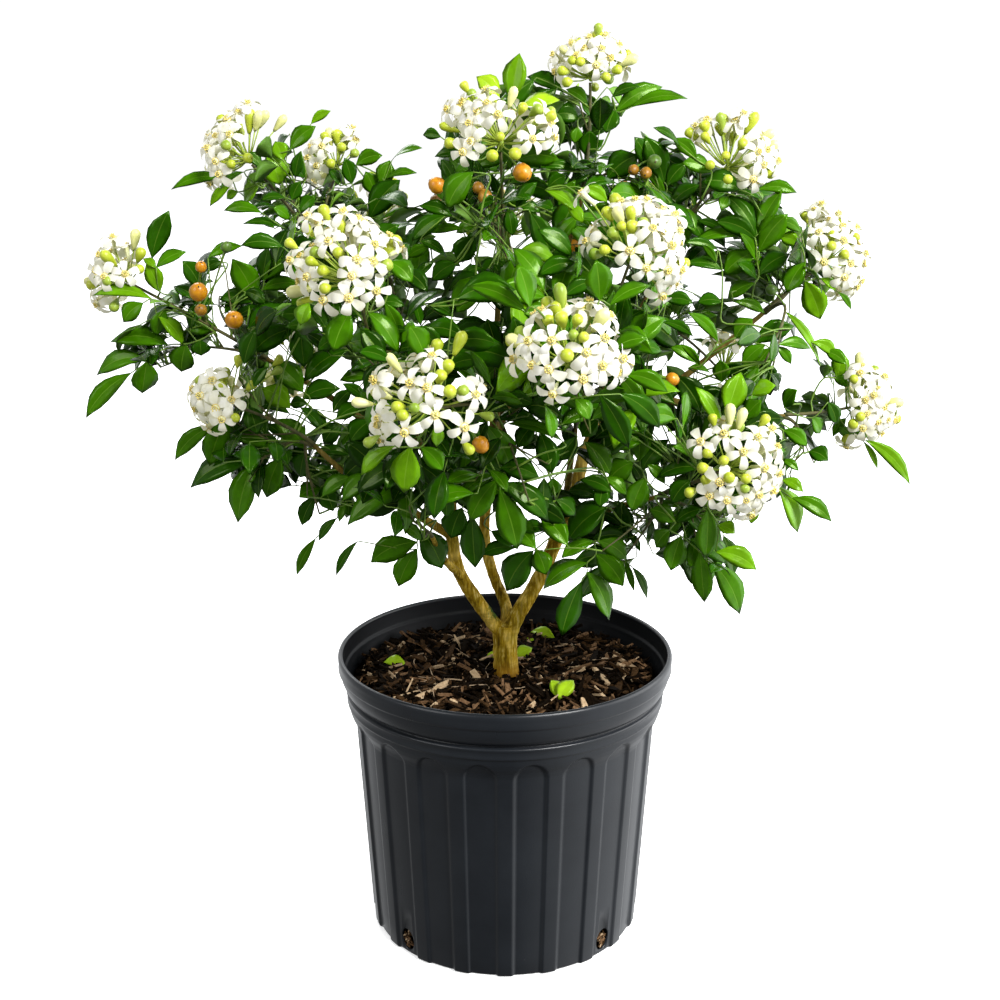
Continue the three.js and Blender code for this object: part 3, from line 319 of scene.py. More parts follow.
# The pixels where the photograph shows each open flower and bud of a head; a third number makes a bud long
SHOWN = {
    "top": (
        [(596, 65), (601, 49), (584, 49), (555, 56), (577, 56), (610, 58), (590, 39), (605, 37), (573, 44),
         (618, 46)],
        [(566, 52, 1), (573, 61), (581, 63), (564, 71), (616, 70), (628, 61, 1), (568, 82), (605, 77),
         (598, 30)]),
    "upper_centre": (
        [(462, 108), (487, 104), (470, 123), (498, 115), (532, 139), (549, 123), (472, 141), (463, 152),
         (477, 112), (449, 110)],
        [(465, 87), (473, 96), (512, 97, 1), (522, 109), (536, 111), (449, 128, 1), (452, 143), (500, 137),
         (493, 155), (514, 153)]),
    "upper_left": (
        [(228, 122), (238, 114), (217, 137), (230, 135), (209, 149), (216, 161), (220, 174), (248, 105)],
        [(250, 121, 1), (263, 119, 1), (280, 123, 1), (227, 146), (232, 164), (248, 158)]),
    "upper_left_inner": (
        [(309, 158), (317, 166), (312, 148), (322, 147), (352, 130)],
        [(325, 138), (340, 137), (341, 149), (331, 164), (354, 154)]),
    "left_far": (
        [(113, 239), (97, 271), (105, 277), (98, 303), (101, 256), (125, 274)],
        [(135, 239, 1), (140, 255), (109, 259, 1), (139, 270), (109, 281), (115, 305)]),
    "left_centre": (
        [(309, 217), (319, 224), (359, 221), (329, 242), (374, 245), (387, 238), (357, 260), (352, 276),
         (308, 277), (324, 300), (349, 298), (376, 291), (302, 256), (292, 261), (343, 213), (373, 262)],
        [(308, 230), (291, 244), (317, 253), (339, 254), (324, 271), (326, 288), (341, 227), (325, 213),
         (385, 266), (312, 262)]),
    "left_low": (
        [(216, 408), (201, 396), (213, 381), (195, 390), (231, 400), (222, 419)],
        [(238, 361), (278, 361), (277, 371), (251, 386), (200, 381), (222, 387), (235, 417)]),
    "centre_low": (
        [(432, 357), (376, 380), (411, 384), (427, 388), (475, 395), (435, 415), (379, 424), (405, 432),
         (464, 427)],
        [(394, 363, 1), (459, 343, 1), (437, 347), (447, 368), (440, 377), (449, 392), (461, 392),
         (381, 394, 1), (362, 403, 1), (415, 408), (399, 407), (404, 415), (487, 416), (371, 441),
         (468, 448)]),
    "centre": (
        [(543, 312), (589, 304), (608, 317), (529, 341), (552, 341), (604, 339), (586, 353), (533, 365),
         (549, 369), (583, 379), (602, 366), (616, 372), (553, 393), (622, 359), (515, 359)],
        [(561, 297, 1), (557, 310), (562, 320), (577, 321), (573, 336), (583, 338), (567, 356),
         (549, 322)]),
    "right_centre": (
        [(622, 204), (635, 202), (647, 202), (662, 211), (674, 216), (630, 251), (646, 268), (671, 246),
         (667, 270), (680, 270), (662, 295), (661, 233), (652, 229), (677, 232), (675, 223), (588, 242),
         (583, 194)],
        [(608, 214), (619, 217, 1), (631, 216, 1), (622, 227), (632, 228), (614, 234), (606, 250),
         (596, 254), (643, 223)]),
    "upper_right": (
        [(708, 122), (697, 127), (743, 115), (735, 122), (763, 165), (753, 179), (776, 161), (757, 152),
         (766, 150)],
        [(724, 124, 1), (751, 123, 1), (766, 137, 1), (706, 138), (726, 156), (711, 165), (728, 179),
         (742, 145), (691, 134)]),
    "right": (
        [(819, 233), (824, 262), (842, 227), (822, 206), (838, 215), (855, 229), (843, 241), (864, 254),
         (844, 277), (855, 286), (850, 264), (829, 222), (814, 212)],
        [(805, 217), (832, 236), (843, 255), (831, 247), (855, 238)]),
    "right_far": (
        [(865, 400), (872, 371), (878, 390), (884, 378), (883, 407), (877, 421), (886, 419), (866, 413),
         (860, 374), (847, 444), (863, 428), (873, 395)],
        [(859, 362, 1), (837, 370), (854, 380), (860, 416), (853, 423), (846, 437, 1)]),
    "right_low": (
        [(701, 442), (724, 435), (743, 452), (763, 468), (775, 448), (771, 430), (727, 500), (745, 499),
         (710, 495), (771, 490), (758, 494), (757, 438), (720, 482)],
        [(730, 415, 1), (741, 419, 1), (704, 468), (729, 477), (707, 479), (745, 478), (744, 488),
         (713, 420), (708, 454), (724, 461), (764, 421), (691, 492)]),
}

# The outline of the close part of the crown in the photograph's pixels, and the sky that shows through it
OUTLINE = np.array([
    (245, 140), (262, 138), (285, 150), (300, 160), (318, 165), (340, 165), (352, 158), (380, 168),
    (398, 188), (412, 204), (430, 196), (440, 176), (438, 152), (446, 132), (470, 100), (498, 86),
    (512, 66), (522, 86), (545, 92), (560, 112), (574, 84), (600, 78), (640, 86), (628, 108), (606, 138),
    (600, 158), (614, 158), (640, 138), (664, 140), (690, 140), (722, 150), (762, 184), (786, 192),
    (784, 222), (806, 236), (826, 262), (830, 296), (806, 288), (786, 296), (772, 306), (768, 314),
    (794, 322), (815, 344), (842, 356), (842, 376), (826, 402), (838, 420), (816, 430), (812, 450),
    (784, 456), (792, 480), (794, 508), (766, 506), (728, 518), (732, 545), (738, 580), (704, 592),
    (676, 566), (652, 542), (632, 560), (612, 604), (592, 592), (576, 612), (560, 584), (532, 586),
    (510, 586), (482, 562), (456, 548), (440, 562), (402, 578), (394, 542), (346, 522), (322, 506),
    (300, 492), (268, 492), (240, 505), (228, 482), (198, 478), (214, 440), (196, 428), (214, 400),
    (240, 378), (246, 356), (224, 340), (190, 350), (160, 372), (126, 372), (114, 346), (150, 322),
    (128, 306), (158, 292), (186, 300), (184, 262), (208, 262), (240, 258), (262, 247), (286, 240),
    (256, 214), (236, 200), (240, 175),
], float)
SKY = np.array([
    (218, 290, 9), (170, 268, 10), (205, 362, 9), (283, 352, 8), (274, 350, 6), (312, 384, 7),
    (320, 406, 8), (235, 385, 4), (228, 366, 5), (250, 228, 6), (412, 187, 9), (425, 160, 9), (388, 150, 5),
    (362, 196, 4), (410, 226, 5), (455, 236, 9), (442, 232, 7), (485, 252, 8), (473, 266, 7), (430, 253, 6),
    (432, 272, 6), (514, 232, 6), (520, 216, 4), (535, 245, 6), (547, 226, 4), (563, 257, 5), (556, 278, 4),
    (480, 308, 9), (470, 316, 6), (490, 316, 5), (439, 322, 5), (455, 328, 4), (490, 370, 4), (508, 430, 5),
    (530, 432, 4), (553, 450, 6), (524, 456, 5), (587, 440, 4), (655, 372, 7), (620, 275, 5), (590, 210, 5),
    (340, 368, 9), (330, 376, 6), (336, 392, 5), (296, 413, 4), (270, 430, 4), (278, 418, 4), (308, 430, 6),
    (318, 330, 5), (355, 330, 4), (566, 152, 5), (612, 148, 10), (597, 88, 4), (710, 212, 9),
    (700, 282, 12), (775, 243, 5), (765, 312, 9), (710, 156, 6), (722, 245, 4), (733, 357, 7),
    (805, 372, 12), (776, 400, 6), (703, 378, 6), (785, 372, 8), (740, 525, 6), (662, 432, 7),
    (662, 483, 7), (648, 560, 5), (575, 470, 8), (528, 490, 7), (490, 440, 5), (432, 470, 6), (610, 488, 5),
    (540, 545, 5), (485, 582, 7), (448, 590, 7), (345, 492, 5), (335, 412, 5), (285, 505, 9), (695, 320, 5),
    (300, 545, 12), (360, 555, 8), (712, 289, 9), (693, 297, 4), (672, 313, 3), (692, 345, 7),
    (701, 335, 4), (715, 363, 6), (672, 367, 7), (684, 361, 5), (800, 353, 8), (812, 388, 7), (790, 385, 6),
    (770, 410, 7), (784, 306, 8), (804, 312, 8), (838, 325, 10), (850, 340, 7), (733, 300, 4),
    (754, 311, 5), (790, 247, 3), (823, 385, 3), (667, 404, 6), (680, 400, 3), (673, 437, 6), (690, 443, 4),
    (800, 424, 5), (800, 460, 6), (815, 471, 8), (288, 345, 4), (258, 394, 4), (216, 372, 5), (190, 365, 9),
    (308, 392, 3), (312, 403, 5), (334, 386, 6), (346, 380, 4), (350, 398, 4), (292, 492, 6), (290, 480, 4),
    (282, 520, 12), (250, 545, 12), (336, 470, 3), (357, 497, 4), (379, 525, 7), (362, 533, 7),
    (345, 531, 8), (325, 560, 12), (622, 138, 8), (628, 122, 6), (712, 390, 8), (216, 316, 7),
    (180, 322, 8), (168, 343, 4), (232, 284, 5), (250, 254, 5), (284, 281, 7), (574, 176, 4), (735, 360, 8),
    (704, 392, 9), (218, 326, 5), (413, 199, 5),
], float)

# Leaflets that stand clear in the photograph, by compound leaf: the mass that bears it, its depth in
# millimetres, where its stalk starts, its tint, and each leaflet's base, tip and width in pixels
SPRAYS = [
    ("left_far", 8, (160, 292), "mid", [(156, 268, 186, 251, 13), (152, 258, 169, 213, 21)]),
    ("left_far", 0, (213, 328), "mid", [(208, 258, 241, 246, 11)]),
    ("left_far", 10, (215, 332), "dark", [(217, 328, 187, 330, 18), (196, 300, 174, 284, 17),
        (200, 287, 184, 261, 20)]),
    ("left_far", 12, (250, 340), "dark", [(252, 302, 218, 299, 16), (255, 300, 232, 259, 26),
        (262, 290, 299, 285, 14), (264, 280, 288, 261, 15), (263, 281, 267, 247, 18)]),
    ("left_wing", -6, (215, 333), "mid", [(200, 340, 201, 356, 19), (186, 344, 180, 373, 25),
        (168, 345, 109, 338, 24), (146, 359, 92, 371, 20), (147, 361, 144, 396, 26),
        (131, 373, 85, 418, 18)]),
    ("left_wing", -16, (215, 332), "light", [(165, 309, 156, 337, 17), (158, 316, 186, 343, 19),
        (152, 299, 91, 294, 13), (143, 303, 122, 322, 18)]),
    ("left_centre", -70, (300, 262), "dark", [(283, 247, 241, 245, 16)]),
    ("left_low", -50, (310, 316), "dark", [(297, 328, 250, 355, 22), (300, 326, 303, 368, 24)]),
    ("left_low", -62, (246, 396), "mid", [(248, 406, 258, 434, 21), (227, 417, 210, 471, 25),
        (215, 425, 172, 461, 16)]),
    ("left_low", -58, (306, 416), "light", [(290, 408, 262, 388, 22)]),
    ("left_low", -44, (310, 398), "dark", [(303, 392, 272, 362, 24)]),
    ("left_skirt", -52, (330, 450), "dark", [(306, 449, 275, 420, 22), (305, 452, 299, 480, 22),
        (283, 450, 231, 435, 19), (281, 457, 265, 500, 24), (256, 459, 188, 487, 26),
        (254, 463, 234, 523, 27)]),
    ("lower_left", -42, (345, 468), "dark", [(350, 455, 313, 453, 13), (335, 478, 312, 470, 16),
        (322, 486, 333, 511, 20), (321, 488, 299, 497, 19), (316, 496, 300, 526, 15)]),
    ("lower_left", -38, (356, 503), "mid", [(346, 501, 339, 522, 8), (337, 518, 318, 541, 10),
        (316, 538, 296, 577, 10)]),
    ("lower_centre", -75, (436, 520), "dark", [(420, 530, 443, 569, 28), (417, 542, 370, 564, 26),
        (417, 549, 398, 589, 22), (358, 541, 335, 576, 9)]),
    ("lower_centre", -112, (412, 468), "mid", [(400, 490, 346, 525, 22), (405, 482, 410, 535, 24)]),
    ("centre_low", -226, (415, 428), "light", [(395, 446, 360, 475, 18), (410, 447, 403, 494, 29),
        (421, 447, 443, 471, 19), (437, 425, 438, 447, 14)]),
    ("centre_low", -212, (428, 345), "mid", [(425, 358, 410, 325, 24), (391, 362, 358, 352, 15)]),
    ("core_low", -150, (487, 452), "mid", [(497, 476, 459, 493, 20), (497, 480, 469, 522, 24),
        (500, 483, 550, 520, 24), (500, 490, 517, 552, 28)]),
    ("core_low", -142, (492, 408), "mid", [(486, 425, 513, 473, 26), (500, 468, 539, 477, 22)]),
    ("core_low", -120, (480, 492), "dark", [(462, 508, 450, 540, 26), (472, 515, 473, 569, 27)]),
    ("core_low", -118, (556, 530), "dark", [(548, 530, 521, 528, 16), (515, 548, 481, 555, 14)]),
    ("core_low", -130, (600, 470), "dark", [(612, 492, 580, 480, 16), (585, 442, 612, 475, 20),
        (556, 500, 577, 515, 18)]),
    ("lower_right", -92, (556, 535), "mid", [(536, 549, 546, 575, 20), (533, 551, 504, 592, 30)]),
    ("lower_right", -96, (622, 522), "mid", [(607, 507, 566, 540, 28), (598, 541, 628, 560, 20),
        (594, 541, 561, 558, 15), (596, 554, 623, 587, 24), (587, 563, 541, 586, 28),
        (587, 572, 614, 620, 24), (581, 582, 562, 637, 24)]),
    ("lower_right", -70, (640, 500), "dark", [(622, 502, 621, 538, 24), (627, 532, 641, 551, 8),
        (625, 560, 633, 592, 7), (632, 567, 651, 600, 9)]),
    ("right_skirt", -112, (655, 490), "mid", [(645, 478, 632, 512, 24), (642, 470, 667, 440, 20),
        (633, 462, 609, 480, 24), (639, 461, 640, 421, 24)]),
    ("right_skirt", -118, (655, 498), "mid", [(675, 522, 650, 510, 18), (675, 523, 700, 508, 16),
        (670, 530, 654, 547, 20), (681, 536, 671, 571, 22), (700, 552, 702, 605, 22),
        (712, 562, 745, 617, 24)]),
    ("right_skirt", -140, (704, 488), "light", [(708, 508, 708, 560, 25), (718, 525, 735, 533, 16),
        (716, 552, 758, 569, 20)]),
    ("right_skirt", -126, (708, 476), "mid", [(700, 460, 676, 445, 14), (700, 468, 656, 475, 17),
        (690, 480, 672, 503, 20)]),
    ("right_low", -150, (762, 476), "light", [(755, 503, 751, 524, 12), (782, 480, 803, 491, 12),
        (778, 487, 804, 533, 24), (792, 498, 833, 521, 16)]),
    ("right_low", -132, (738, 436), "light", [(720, 428, 697, 386, 16), (728, 415, 742, 372, 25),
        (745, 420, 760, 400, 20), (752, 395, 775, 385, 18)]),
    ("right_outer", -52, (800, 404), "mid", [(784, 407, 795, 390, 18), (812, 418, 822, 434, 16),
        (828, 402, 838, 425, 14)]),
    ("right_outer", -60, (775, 430), "mid", [(783, 430, 808, 446, 15), (781, 460, 799, 470, 9),
        (809, 451, 828, 460, 18)]),
    ("right_far", -20, (830, 405), "light", [(848, 430, 868, 437, 7), (863, 441, 879, 471, 6),
        (865, 440, 914, 484, 14)]),
    ("right_far", -10, (811, 402), "light", [(824, 378, 828, 362, 12), (838, 378, 843, 352, 17),
        (820, 365, 789, 311, 10), (812, 342, 838, 355, 13)]),
    ("right_inner", -40, (705, 357), "mid", [(735, 338, 752, 318, 20), (755, 343, 795, 326, 20),
        (765, 345, 742, 366, 16), (770, 348, 750, 380, 24), (776, 346, 792, 364, 10),
        (778, 345, 812, 348, 13)]),
    ("right_inner", -90, (688, 386), "mid", [(722, 382, 720, 362, 17), (688, 368, 711, 371, 9),
        (700, 366, 681, 345, 8), (718, 342, 689, 312, 12)]),
    ("right_inner", -62, (722, 322), "mid", [(722, 302, 697, 302, 16), (722, 270, 684, 262, 14),
        (718, 250, 684, 243, 9), (716, 262, 702, 245, 8)]),
    ("right_centre", -120, (650, 312), "dark", [(665, 300, 692, 303, 14), (662, 322, 693, 336, 10)]),
    ("right_centre", -110, (566, 186), "light", [(545, 190, 580, 212, 16), (582, 188, 608, 202, 14),
        (568, 205, 582, 222, 12)]),
    ("right", -20, (752, 300), "mid", [(755, 283, 727, 298, 18), (757, 280, 740, 262, 14),
        (759, 275, 789, 252, 22), (756, 252, 723, 275, 22), (759, 252, 787, 214, 25),
        (757, 262, 741, 232, 11), (755, 238, 717, 222, 18), (750, 236, 690, 242, 14),
        (756, 236, 725, 190, 18), (758, 234, 781, 188, 23)]),
    ("right", -15, (790, 262), "light", [(800, 245, 779, 237, 14), (805, 262, 786, 292, 22),
        (805, 281, 820, 320, 24), (820, 278, 836, 290, 9), (838, 292, 852, 310, 6)]),
    ("upper_right", -20, (702, 198), "mid", [(712, 172, 683, 162, 18), (697, 160, 672, 138, 14),
        (680, 146, 654, 127, 9)]),
    ("upper_right", -14, (706, 204), "mid", [(728, 196, 722, 209, 12), (740, 190, 703, 180, 22),
        (762, 200, 735, 191, 9), (757, 190, 797, 192, 13)]),
    ("top_gap", 10, (666, 216), "mid", [(670, 206, 699, 184, 17), (666, 198, 641, 166, 9),
        (667, 186, 686, 163, 16), (664, 182, 645, 136, 24)]),
    ("top_gap", 14, (612, 188), "dark", [(607, 179, 638, 155, 26), (648, 166, 638, 138, 20)]),
    ("top", 45, (593, 160), "mid", [(588, 157, 590, 132, 20), (578, 127, 575, 143, 13),
        (579, 118, 557, 114, 20), (592, 118, 583, 101, 12), (588, 104, 567, 88, 16),
        (563, 92, 527, 75, 16)]),
    ("top", 40, (600, 150), "mid", [(615, 110, 606, 133, 20), (612, 97, 640, 86, 12),
        (616, 112, 664, 86, 19), (632, 107, 688, 98, 12)]),
    ("upper_centre", -34, (508, 124), "young", [(499, 98, 477, 76, 20), (518, 112, 560, 99, 19),
        (512, 100, 517, 53, 24)]),
    ("upper_centre", -66, (480, 160), "dark", [(465, 155, 434, 155, 12), (441, 137, 422, 135, 11)]),
    ("core_centre", -112, (490, 176), "mid", [(473, 172, 445, 208, 27)]),
    ("upper_left", 22, (262, 186), "light", [(260, 183, 243, 203, 22), (238, 192, 226, 199, 9),
        (233, 182, 210, 207, 9), (227, 178, 171, 190, 11)]),
    ("upper_left", 26, (296, 190), "light", [(283, 160, 275, 141, 17), (268, 155, 281, 184, 28),
        (290, 150, 314, 126, 17), (311, 124, 331, 111, 9)]),
    ("upper_left", 10, (298, 232), "dark", [(286, 229, 242, 223, 9), (262, 213, 223, 210, 12)]),
    ("upper_left", 20, (302, 222), "mid", [(290, 220, 274, 207, 14), (300, 212, 315, 196, 14),
        (285, 198, 260, 200, 12), (292, 200, 300, 182, 14)]),
    ("upper_left_inner", 96, (362, 206), "mid", [(375, 195, 366, 172, 18), (356, 165, 382, 155, 15),
        (384, 180, 416, 171, 9), (382, 187, 390, 160, 18), (392, 160, 421, 146, 11)]),
    ("upper_left_inner", 82, (368, 224), "mid", [(370, 218, 400, 180, 25), (380, 220, 425, 211, 9)]),
    ("left_centre", -186, (345, 296), "light", [(350, 312, 333, 352, 26), (309, 303, 299, 325, 20)]),
    ("left_centre", -160, (368, 296), "mid", [(368, 312, 400, 352, 24), (385, 303, 400, 338, 16),
        (388, 262, 413, 280, 22)]),
    ("left_low", -40, (352, 432), "dark", [(303, 399, 339, 387, 20), (348, 350, 302, 380, 22),
        (372, 378, 338, 380, 14), (375, 362, 348, 369, 18), (333, 412, 352, 389, 13),
        (362, 405, 336, 420, 15), (342, 424, 322, 444, 20), (372, 420, 350, 442, 22),
        (308, 408, 328, 428, 8)]),
    ("core_low", -128, (556, 500), "dark", [(540, 432, 552, 474, 22), (577, 436, 561, 463, 20),
        (553, 478, 553, 497, 16), (535, 424, 517, 448, 18), (537, 420, 497, 418, 16),
        (598, 420, 582, 437, 18), (603, 484, 600, 507, 16)]),
    ("core_centre", -70, (455, 262), "dark", [(474, 236, 458, 264, 22), (457, 263, 432, 281, 18),
        (434, 262, 416, 278, 10), (430, 247, 408, 258, 12), (420, 241, 448, 256, 14),
        (445, 216, 411, 241, 18)]),
    ("core_centre", -60, (500, 258), "dark", [(500, 260, 480, 276, 18), (508, 208, 512, 236, 15),
        (476, 226, 455, 232, 12), (452, 216, 420, 206, 14)]),
    ("upper_centre", -40, (512, 205), "dark", [(520, 207, 541, 211, 12), (548, 188, 566, 176, 16)]),
    ("core_centre", -95, (470, 300), "dark", [(428, 306, 456, 316, 13), (480, 298, 455, 312, 14),
        (460, 321, 486, 321, 7), (412, 297, 422, 326, 10)]),
    ("upper_left_inner", 90, (352, 196), "dark", [(352, 184, 345, 158, 16), (340, 186, 330, 166, 13)]),
    ("upper_left", 16, (262, 188), "mid", [(244, 172, 218, 187, 11), (262, 168, 246, 152, 12)]),
    ("left_far", 6, (172, 296), "light", [(160, 292, 146, 263, 17), (156, 268, 143, 258, 9)]),
    ("right", -18, (804, 246), "mid", [(801, 232, 780, 221, 12)]),
    ("centre", -236, (540, 312), "mid", [(530, 307, 519, 264, 24), (526, 312, 466, 287, 18)]),
    ("centre", -222, (596, 312), "mid", [(600, 300, 597, 262, 27), (610, 305, 651, 284, 16)]),
    ("centre", -236, (596, 348), "light", [(613, 350, 647, 338, 18), (626, 375, 668, 392, 18)]),
    ("core_low", -146, (566, 446), "dark", [(562, 441, 507, 423, 11)]),
    ("core_low", -126, (598, 472), "dark", [(604, 477, 628, 494, 14)]),
    ("core_low", -116, (484, 524), "dark", [(491, 531, 512, 547, 13)]),
    ("lower_centre", -96, (428, 538), "dark", [(421, 541, 403, 524, 12)]),
    ("left_low", -46, (330, 430), "dark", [(322, 430, 302, 407, 14), (290, 414, 261, 405, 10),
        (283, 438, 266, 423, 11)]),
    ("left_low", -44, (374, 406), "dark", [(366, 402, 343, 384, 11)]),
    ("upper_left", 14, (306, 178), "dark", [(301, 151, 294, 178, 12)]),
    ("upper_centre", -50, (468, 180), "dark", [(454, 182, 440, 159, 13)]),
    ("right_far", -14, (846, 390), "mid", [(849, 387, 833, 377, 10), (846, 364, 825, 351, 13),
        (853, 440, 839, 430, 12)]),
    ("right", -24, (732, 292), "mid", [(734, 302, 766, 313, 11)]),
    ("upper_right", -10, (730, 236), "mid", [(725, 233, 698, 221, 9)]),
    ("upper_centre", -36, (584, 172), "dark", [(576, 171, 540, 166, 11)]),
    ("core_centre", -66, (470, 232), "dark", [(463, 229, 430, 234, 9), (482, 268, 464, 274, 9)]),
    ("left_low", -52, (312, 408), "dark", [(307, 404, 288, 405, 12)]),
    ("left_far", 14, (228, 264), "dark", [(222, 262, 205, 270, 12)]),
    ("right_inner", -84, (700, 370), "mid", [(696, 363, 671, 346, 13)]),
    ("right_skirt", -116, (672, 488), "dark", [(665, 484, 648, 464, 12)]),
    ("lower_right", -74, (652, 512), "dark", [(652, 519, 650, 548, 9)]),
    ("right_far", -12, (850, 412), "mid", [(846, 418, 833, 436, 10)]),
    ("centre", -240, (585, 378), "mid", [(545, 405, 556, 438, 16), (575, 398, 590, 420, 18),
        (600, 395, 627, 452, 24), (620, 394, 662, 430, 22)]),
]

# Fruit: its middle, kind and radius
FRUIT = [
    ((12, -78, 635), "ripe", 6.8), ((-50, -70, 626), "ripe", 6.2), ((-15, -70, 618), "dull", 5.4),
    ((-20, -66, 624), "dull", 4.4), ((-235, -30, 544), "ripe", 7.2), ((-207, -40, 524), "ripe", 7.0),
    ((-232, -30, 563), "ripe", 4.4), ((-234, -30, 530), "dull", 4.8), ((-212, -30, 578), "green", 4.2),
    ((106, -20, 632), "dull", 4.6), ((90, -10, 622), "dull", 4.0), ((97, -14, 634), "dull", 4.2),
    ((113, -12, 640), "green", 5.6), ((119, -120, 493), "ripe", 5.0), ((-17, -200, 464), "ripe", 5.8),
    ((205, -20, 544), "green", 4.4), ((245, -40, 418), "green", 4.6), ((60, 150, 560), "ripe", 6.8),
    ((-96, 170, 540), "ripe", 6.8), ((-60, 150, 600), "dull", 5.4),
]

# Fallen leaves: the soil's pixel below the stalk end, heading and rise in degrees, length, width share, lift
FALLEN = [
    ((573, 695), 234, -24, 23, 0.6, 12.0), ((551, 694), 298, -24, 19, 0.62, 12.0),
    ((516, 661), 30, 22, 18, 0.62, 3.5), ((524, 645), 10, 4, 10, 0.4, 4.0),
    ((531, 638), 326, 2, 24, 0.42, 6.0), ((384, 665), 340, 6, 20, 0.5, 4.5),
    ((486, 661), 10, 10, 12, 0.5, 3.5),
]

# Leaf tints from deep to young: partly the leaves' own greens, young ones paler, and partly painted light and
# shade, the deep and dark tints standing for leaves in shade and the light ones for lit leaves.
TINTS = {
    "deep": (0.007, 0.036, 0.0003), "dark": (0.016, 0.076, 0.0004), "mid": (0.042, 0.146, 0.0008),
    "light": (0.108, 0.262, 0.0025), "young": (0.260, 0.420, 0.0120),
}
TINT_LIMITS = [(0.34, "deep"), (0.72, "dark"), (0.96, "mid")]
OTHER_TINT = {"young": "light", "light": "mid", "mid": "dark", "dark": "mid"}


# Random numbers, vectors and curves

def random_from(seed):
    """A repeatable random number source, from 0 up to 1, the same as the part's source has."""
    state = seed & 0xFFFFFFFF

    def draw():
        nonlocal state
        state = (state + 0x6D2B79F5) & 0xFFFFFFFF
        mixed = ((state ^ (state >> 15)) * (state | 1)) & 0xFFFFFFFF
        mixed ^= (mixed + (((mixed ^ (mixed >> 7)) * (mixed | 61)) & 0xFFFFFFFF)) & 0xFFFFFFFF
        return ((mixed ^ (mixed >> 14)) & 0xFFFFFFFF) / 4294967296

    return draw


def drawn(random, least, more, power=1):
    return least + more * random() ** power


def vec(*numbers):
    return np.array(numbers, float)


def jitter(random):
    """A small random step, up to half a unit along each axis."""
    return vec(random() - 0.5, random() - 0.5, random() - 0.5)


def unit(v):
    return v / max(float(np.linalg.norm(v)), 1e-9)


def length_of(v):
    return float(np.linalg.norm(v))


def square_to(v, along):
    """The part of a direction that is square to another."""
    return unit(v - along * float(v @ along))


def frame_round(along):
    """Two directions square to one direction and to each other."""
    across = unit(np.cross(UP if abs(along[2]) < 0.9 else vec(1, 0, 0), along))
    return across, np.cross(along, across)


def swing(across, third, turn):
    """The direction at an angle in the plane of two others."""
    return across * math.cos(turn) + third * math.sin(turn)


def leant(along, lean, turn):
    """A direction leant away from another, at an angle round it."""
    across, third = frame_round(along)
    return along * math.cos(lean) + swing(across, third, turn) * math.sin(lean)


def turns(count):
    return [2 * math.pi * k / count for k in range(count)]


class Spline:
    """A centripetal Catmull-Rom curve, the same as the part's limbs follow."""

    def __init__(self, points):
        self.points = [np.array(p, float) for p in points]

    def at(self, share):
        points = self.points
        last = len(points) - 1
        place = min(max(share, 0.0), 1.0) * last
        i = min(int(place), last - 1)
        t = place - i
        p1, p2 = points[i], points[i + 1]
        p0 = points[i - 1] if i > 0 else 2 * points[0] - points[1]
        p3 = points[i + 2] if i + 2 <= last else 2 * points[last] - points[last - 1]
        d0, d1, d2 = (math.sqrt(max(length_of(b - a), 1e-6)) for a, b in ((p0, p1), (p1, p2), (p2, p3)))
        t1 = ((p1 - p0) / d0 - (p2 - p0) / (d0 + d1) + (p2 - p1) / d1) * d1
        t2 = ((p2 - p1) / d1 - (p3 - p1) / (d1 + d2) + (p3 - p2) / d2) * d1
        c2 = -3 * p1 + 3 * p2 - 2 * t1 - t2
        c3 = 2 * p1 - 2 * p2 + t1 + t2
        return p1 + t1 * t + c2 * t * t + c3 * t ** 3

    def tangent(self, share):
        return unit(self.at(min(share + 1e-3, 1)) - self.at(max(share - 1e-3, 0)))


class Bend:
    """A quadratic Bezier curve."""

    def __init__(self, start, middle, end):
        self.start, self.middle, self.end = start, middle, end

    def at(self, t):
        return (1 - t) ** 2 * self.start + 2 * t * (1 - t) * self.middle + t * t * self.end

    def tangent(self, t):
        return unit((1 - t) * (self.middle - self.start) + t * (self.end - self.middle))


# The photograph's view

PITCH = math.radians(CAMERA_PITCH)
EYE = vec(CAMERA_X, CAMERA_Y, CAMERA_HEIGHT)


def sight(px, py):
    """The direction from the camera through a pixel of the photograph."""
    right, rise = (px - IMAGE_PIXELS / 2) / FOCAL_PIXELS, (IMAGE_PIXELS / 2 - py) / FOCAL_PIXELS
    level, steep = math.cos(PITCH), math.sin(PITCH)
    return unit(vec(right, level + rise * steep, rise * level - steep))


def on_dome(px, py, middle, radius):
    """Where a pixel's sight line meets a ball, or passes nearest to it."""
    way = sight(px, py)
    near = EYE + way * float((middle - EYE) @ way)
    miss = length_of(near - middle)
    return near - way * math.sqrt(max(radius * radius - miss * miss, 0.0))


def on_level(px, py, axis, level):
    """Where a pixel's sight line meets a plane square to an axis."""
    way = sight(px, py)
    return EYE + way * (level - EYE[axis]) / way[axis]


def on_plane(px, py, depth):
    return on_level(px, py, 1, depth)


def pixel(point):
    """The photograph's pixel and the distance at which the camera sees a point."""
    away = point - EYE
    distance = away[1] * math.cos(PITCH) - away[2] * math.sin(PITCH)
    rise = away[1] * math.sin(PITCH) + away[2] * math.cos(PITCH)
    middle = IMAGE_PIXELS / 2
    return middle + FOCAL_PIXELS * away[0] / distance, middle - FOCAL_PIXELS * rise / distance, distance


def in_outline(x, y):
    x0, y0 = OUTLINE[:, 0], OUTLINE[:, 1]
    x1, y1 = np.roll(x0, -1), np.roll(y0, -1)
    spans = (y0 > y) != (y1 > y)
    crossing = x0[spans] + (y - y0[spans]) * (x1[spans] - x0[spans]) / (y1[spans] - y0[spans])
    return int(np.count_nonzero(crossing > x)) % 2 == 1


def over_sky(x, y, margin):
    return bool(np.any(np.hypot(SKY[:, 0] - x, SKY[:, 1] - y) < SKY[:, 2] + margin))


def on_sky(point, margin=-1.0):
    x, y, _ = pixel(point)
    return over_sky(x, y, margin)


